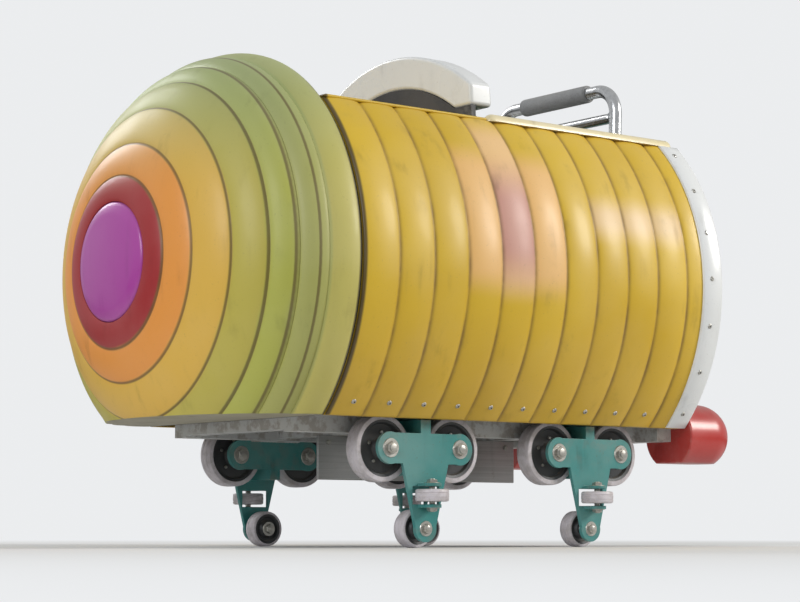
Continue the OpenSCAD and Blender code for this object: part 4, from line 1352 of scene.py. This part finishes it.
def axles(end, side):
    """Axles, pins, spacers and nuts of one bogie."""
    out = 1 if side == "left" else -1

    def at(x, y, z):
        return Vector((x, out * y, z))

    low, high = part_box(f"bogie_{end}_{side}")
    guide_low, guide_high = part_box(f"guide_wheel_{end}_{side}")
    run_low, run_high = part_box(f"run_wheel_{end}_{side}_a")
    stop_low, stop_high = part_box(f"stop_wheel_{end}_{side}")
    middle_x = (low.x + high.x) / 2
    axle_z = (run_low.z + run_high.z) / 2
    stop_z = (stop_low.z + stop_high.z) / 2
    rail_y = abs(run_low.y + run_high.y) / 2
    run_half = (run_high.y - run_low.y) / 2
    stop_half = (stop_high.y - stop_low.y) / 2
    guide_y = abs(guide_low.y + guide_high.y) / 2
    top, bottom = guide_high.z + 0.014, guide_low.z - 0.014
    inner, cheek, outer = rail_y - PLATE_AWAY, rail_y + CHEEK_AWAY, rail_y + PLATE_AWAY
    bm = bmesh.new()
    for x in (middle_x - RUN_SPAN / 2, middle_x + RUN_SPAN / 2):
        shaft(bm, at(x, inner - 0.012, axle_z), at(x, outer + 0.012, axle_z), 0.010)
        hex_head(bm, at(x, outer, axle_z), at(0, 1, 0), **RUN_NUT)
        hex_head(bm, at(x, inner, axle_z), at(0, -1, 0), **RUN_NUT)
        for near, far in ((inner + 0.010, rail_y - run_half - WHEEL_PLAY),
                          (rail_y + run_half + WHEEL_PLAY, cheek)):
            shaft(bm, at(x, near, axle_z), at(x, far, axle_z), 0.0148)
    shaft(bm, at(middle_x, rail_y - stop_half - 0.0135, stop_z), at(middle_x, outer + 0.010, stop_z), 0.007)
    hex_head(bm, at(middle_x, outer, stop_z), at(0, 1, 0), **PIN_NUT)
    hex_head(bm, at(middle_x, rail_y - stop_half - WHEEL_PLAY, stop_z), at(0, -1, 0), **PIN_NUT)
    shaft(bm, at(middle_x, rail_y + stop_half + WHEEL_PLAY, stop_z), at(middle_x, cheek, stop_z), 0.0125)
    shaft(bm, at(middle_x, guide_y, bottom - 0.010), at(middle_x, guide_y, top + 0.010), 0.007)
    hex_head(bm, at(middle_x, guide_y, top), Vector((0, 0, 1)), **PIN_NUT)
    hex_head(bm, at(middle_x, guide_y, bottom), Vector((0, 0, -1)), **PIN_NUT)
    make_piece(f"axles_{end}_{side}", bm, "car", zinc_steel, (f"pins_{end}_{side}",), 30)


for end, side in PLACES:
    axles(end, side)

# %% [markdown]
# ## Screws in the mouldings
# Glass fibre parts are screwed together along their edges with low round heads. Each head is two short
# cones, and a small dark one on top shows the socket. A head faces straight out of the surface that it
# holds, so on the round body its direction runs from the axis through its place.

# %% Screws round the body
SCREW_R = 0.0065


def round_head(bm, foot, outward, radius=SCREW_R, height=0.003):
    """Add a low round screw head with a dark socket."""
    disc(bm, foot, outward, 0.0, height * 0.55, radius, radius * 0.88, 14)
    disc(bm, foot, outward, height * 0.55, height * 0.45, radius * 0.88, radius * 0.55, 14)
    disc(bm, foot, outward, height, height * 0.06, radius * 0.38, radius * 0.38, 6, 1)


def round_the_body(bm, x, radius, turns):
    """Screws on the round skin at one place along the body, at angles up from the right side."""
    for turn in turns:
        for side in (-1, 1):
            outward = Vector((0, side * math.cos(turn), math.sin(turn)))
            round_head(bm, Vector((x, 0, AXIS_Z)) + outward * radius, outward, height=SCREW_R * 0.5)


bm = bmesh.new()
low_turn = math.asin((BELLY_Z + 0.030 - AXIS_Z) / BODY_R)
for rib in range(RIB_COUNT - 1):
    round_the_body(bm, BODY_BACK + (rib + 0.5) * RIB_PITCH, BODY_R, [low_turn])
high_turn = math.asin((EDGE_Z - AXIS_Z) / rim_r) - 0.07
rim_turns = [low_turn + 0.02 + (high_turn - low_turn - 0.02) * step / 6 for step in range(7)]
round_the_body(bm, (rim_x0 + BODY_FRONT) / 2, rim_r, rim_turns)
make_piece("skin_screws", bm, "car", [zinc_steel, joint_black], (), 30)

# %% Screws in the flat parts
WALL_SCREWS_R = 0.470
deck_low, deck_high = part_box("rear_deck")
bm = bmesh.new()
for step in range(5):
    x = deck_low.x + 0.035 + (deck_high.x - deck_low.x - 0.07) * step / 4
    for y in (deck_low.y + 0.022, deck_high.y - 0.022):
        round_head(bm, Vector((x, y, deck_high.z)), Vector((0, 0, 1)))
for step in range(1, 5):
    y = deck_low.y + (deck_high.y - deck_low.y) * step / 5
    for x in (deck_low.x + 0.020, deck_high.x - 0.020):
        round_head(bm, Vector((x, y, deck_high.z)), Vector((0, 0, 1)))
for step in range(-5, 6):
    turn = step * 0.135
    for side in (-1, 1):
        place = Vector((BODY_FRONT, side * WALL_SCREWS_R * math.cos(turn),
                        AXIS_Z + WALL_SCREWS_R * math.sin(turn)))
        if BELLY_Z + 0.02 < place.z < EDGE_Z - 0.02:
            round_head(bm, place, Vector((1, 0, 0)))
for y in (-0.40, -0.20, 0.0, 0.20, 0.40):
    round_head(bm, Vector((riser_x, y, FLOOR_Z + 0.030)), Vector((1, 0, 0)), 0.0060)
make_piece("flat_screws", bm, "car", [zinc_steel, joint_black], (), 30)

# %% [markdown]
# ## Bolts and bushes of the steel parts
# The brackets of the lap bar, the coupling's plate and the brake fin are bolted on, and the coupling's
# eye has a bush. The bush is a small round section, spun about the eye's own axis.

# %% Bolts, and a ring spun about any axis
def ring(bm, centre_point, axis, radius, thickness, steps=32, sides=8):
    """Add a closed round ring about an axis."""
    across_axis = axis.orthogonal().normalized()
    rim = bmesh.ops.create_circle(
        bm, cap_ends=False, segments=sides, radius=thickness,
        matrix=Matrix.Translation(centre_point + across_axis * radius)
        @ axis.cross(across_axis).to_track_quat("Z", "Y").to_matrix().to_4x4())["verts"]
    edges = list(dict.fromkeys(edge for vert in rim for edge in vert.link_edges))
    bmesh.ops.spin(bm, geom=rim + edges, cent=centre_point, axis=axis, angle=2 * math.pi, steps=steps,
                   use_merge=True)


brackets_low, brackets_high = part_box("lap_bar_brackets")
tongue_low, tongue_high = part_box("coupling_tongue")
fin_low, fin_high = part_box("brake_fin")
bracket_z = (brackets_low.z + brackets_high.z) / 2
tongue_z = (tongue_low.z + tongue_high.z) / 2
ARM_Y = 0.235
BUSH_IN = 0.035
bm = bmesh.new()
for side in (-1, 1):
    for y in (-0.034, 0.034):
        for z in (-0.030, 0.030):
            hex_head(bm, Vector((brackets_high.x - 0.006, side * ARM_Y + y, bracket_z + z)),
                     Vector((-1, 0, 0)), 0.0060, 0.0045)
for y in (-0.046, 0.046):
    hex_head(bm, Vector((tongue_low.x + 0.012, y, tongue_z)), Vector((1, 0, 0)),
             0.0085, 0.007, washer=0.0015)
for x in (fin_low.x + 0.030, (fin_low.x + fin_high.x) / 2, fin_high.x - 0.030):
    for side in (-1, 1):
        hex_head(bm, Vector((x, side * fin_high.y, fin_high.z - 0.018)), Vector((0, side, 0)),
                 0.0070, 0.0050)
for z in (tongue_z - 0.0125, tongue_z + 0.0125):
    ring(bm, Vector((tongue_high.x - BUSH_IN, 0, z)), Vector((0, 0, 1)), 0.0155, 0.0022)
make_piece("steel_bolts", bm, "car", zinc_steel, (), 30)

# %% [markdown]
# ## Weld beads
# The chassis is welded where its beams meet, and so is the lap bar's second tube. A hand-laid bead is
# a row of small overlapping swells, so it is a thin tube whose thickness rises and falls in even steps.

# %% Weld the chassis and the bogies
WELD_R = 0.0032


def weld_line(bm, start, end):
    """Add one hand-laid bead between two points."""
    count = max(4, round((end - start).length / WELD_R))
    steps = range(count + 1)
    places = [start.lerp(end, step / count) for step in steps]
    swells = [0.55 if step in (0, count) else 1.0 + 0.22 * math.sin(step * 2.1) for step in steps]
    line = tube_mesh("weld", places, WELD_R, swells=swells, sides=1)
    bm.from_mesh(line)
    bpy.data.meshes.remove(line)


BEAM_W = 0.050
BOGIE_HALF = 0.076
frame_low, frame_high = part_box("chassis_frame")
cross_top, cross_low = frame_high.z - 0.002, frame_low.z + 0.006
bogie_middles = [sum(corner.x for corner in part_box(f"bogie_{end}_left")) / 2 for end in ("rear", "front")]
wheel_low, wheel_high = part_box("run_wheel_front_right_a")
beam_out = abs(wheel_low.y + wheel_high.y) / 2 - PLATE_AWAY
beam_in = beam_out - BEAM_W
bm = bmesh.new()
for x in [frame_low.x + BEAM_W / 2] + bogie_middles + [sum(bogie_middles) / 2]:
    for side in (-1, 1):
        for edge_x in (x - BEAM_W / 2, x + BEAM_W / 2):
            if edge_x > frame_low.x + 0.01:
                weld_line(bm, Vector((edge_x, side * beam_in, cross_low)),
                          Vector((edge_x, side * beam_in, cross_top)))
        weld_line(bm, Vector((x - BEAM_W / 2, side * beam_in, cross_low)),
                  Vector((x + BEAM_W / 2, side * beam_in, cross_low)))
front_beam_x = frame_high.x - BEAM_W
for side in (-1, 1):
    for y in (beam_in, beam_out):
        weld_line(bm, Vector((front_beam_x, side * y, frame_low.z + 0.002)),
                  Vector((front_beam_x, side * y, frame_high.z - 0.002)))
for x in bogie_middles:
    for side in (-1, 1):
        weld_line(bm, Vector((x - BOGIE_HALF, side * beam_out, frame_low.z)),
                  Vector((x + BOGIE_HALF, side * beam_out, frame_low.z)))
make_piece("chassis_welds", bm, "car", grey_paint, (), 50, turn_out=False)

# %% Weld the lap bar's second tube
BAR_R = 0.0337 / 2
LEAN_BAR = math.radians(2.0)
SECOND_TUBE_UP = 0.240
pivot = Vector((brackets_low.x + 0.024, 0, bracket_z))
along_arm = Vector((math.sin(LEAN_BAR), 0, math.cos(LEAN_BAR)))
bm = bmesh.new()
for side in (-1, 1):
    joint_place = pivot + along_arm * SECOND_TUBE_UP + Vector((0, side * (ARM_Y - BAR_R + 0.0012), 0))
    ring(bm, joint_place, Vector((0, 1, 0)), BAR_R - 0.0025, 0.0024, 28, 6)
    hub = pivot + Vector((0, side * ARM_Y, 0)) + along_arm * 0.0235
    ring(bm, hub, along_arm, BAR_R + 0.0008, 0.0026, 28, 6)
make_piece("bar_welds", bm, "lap_bar_body", bar_steel, (), 50)
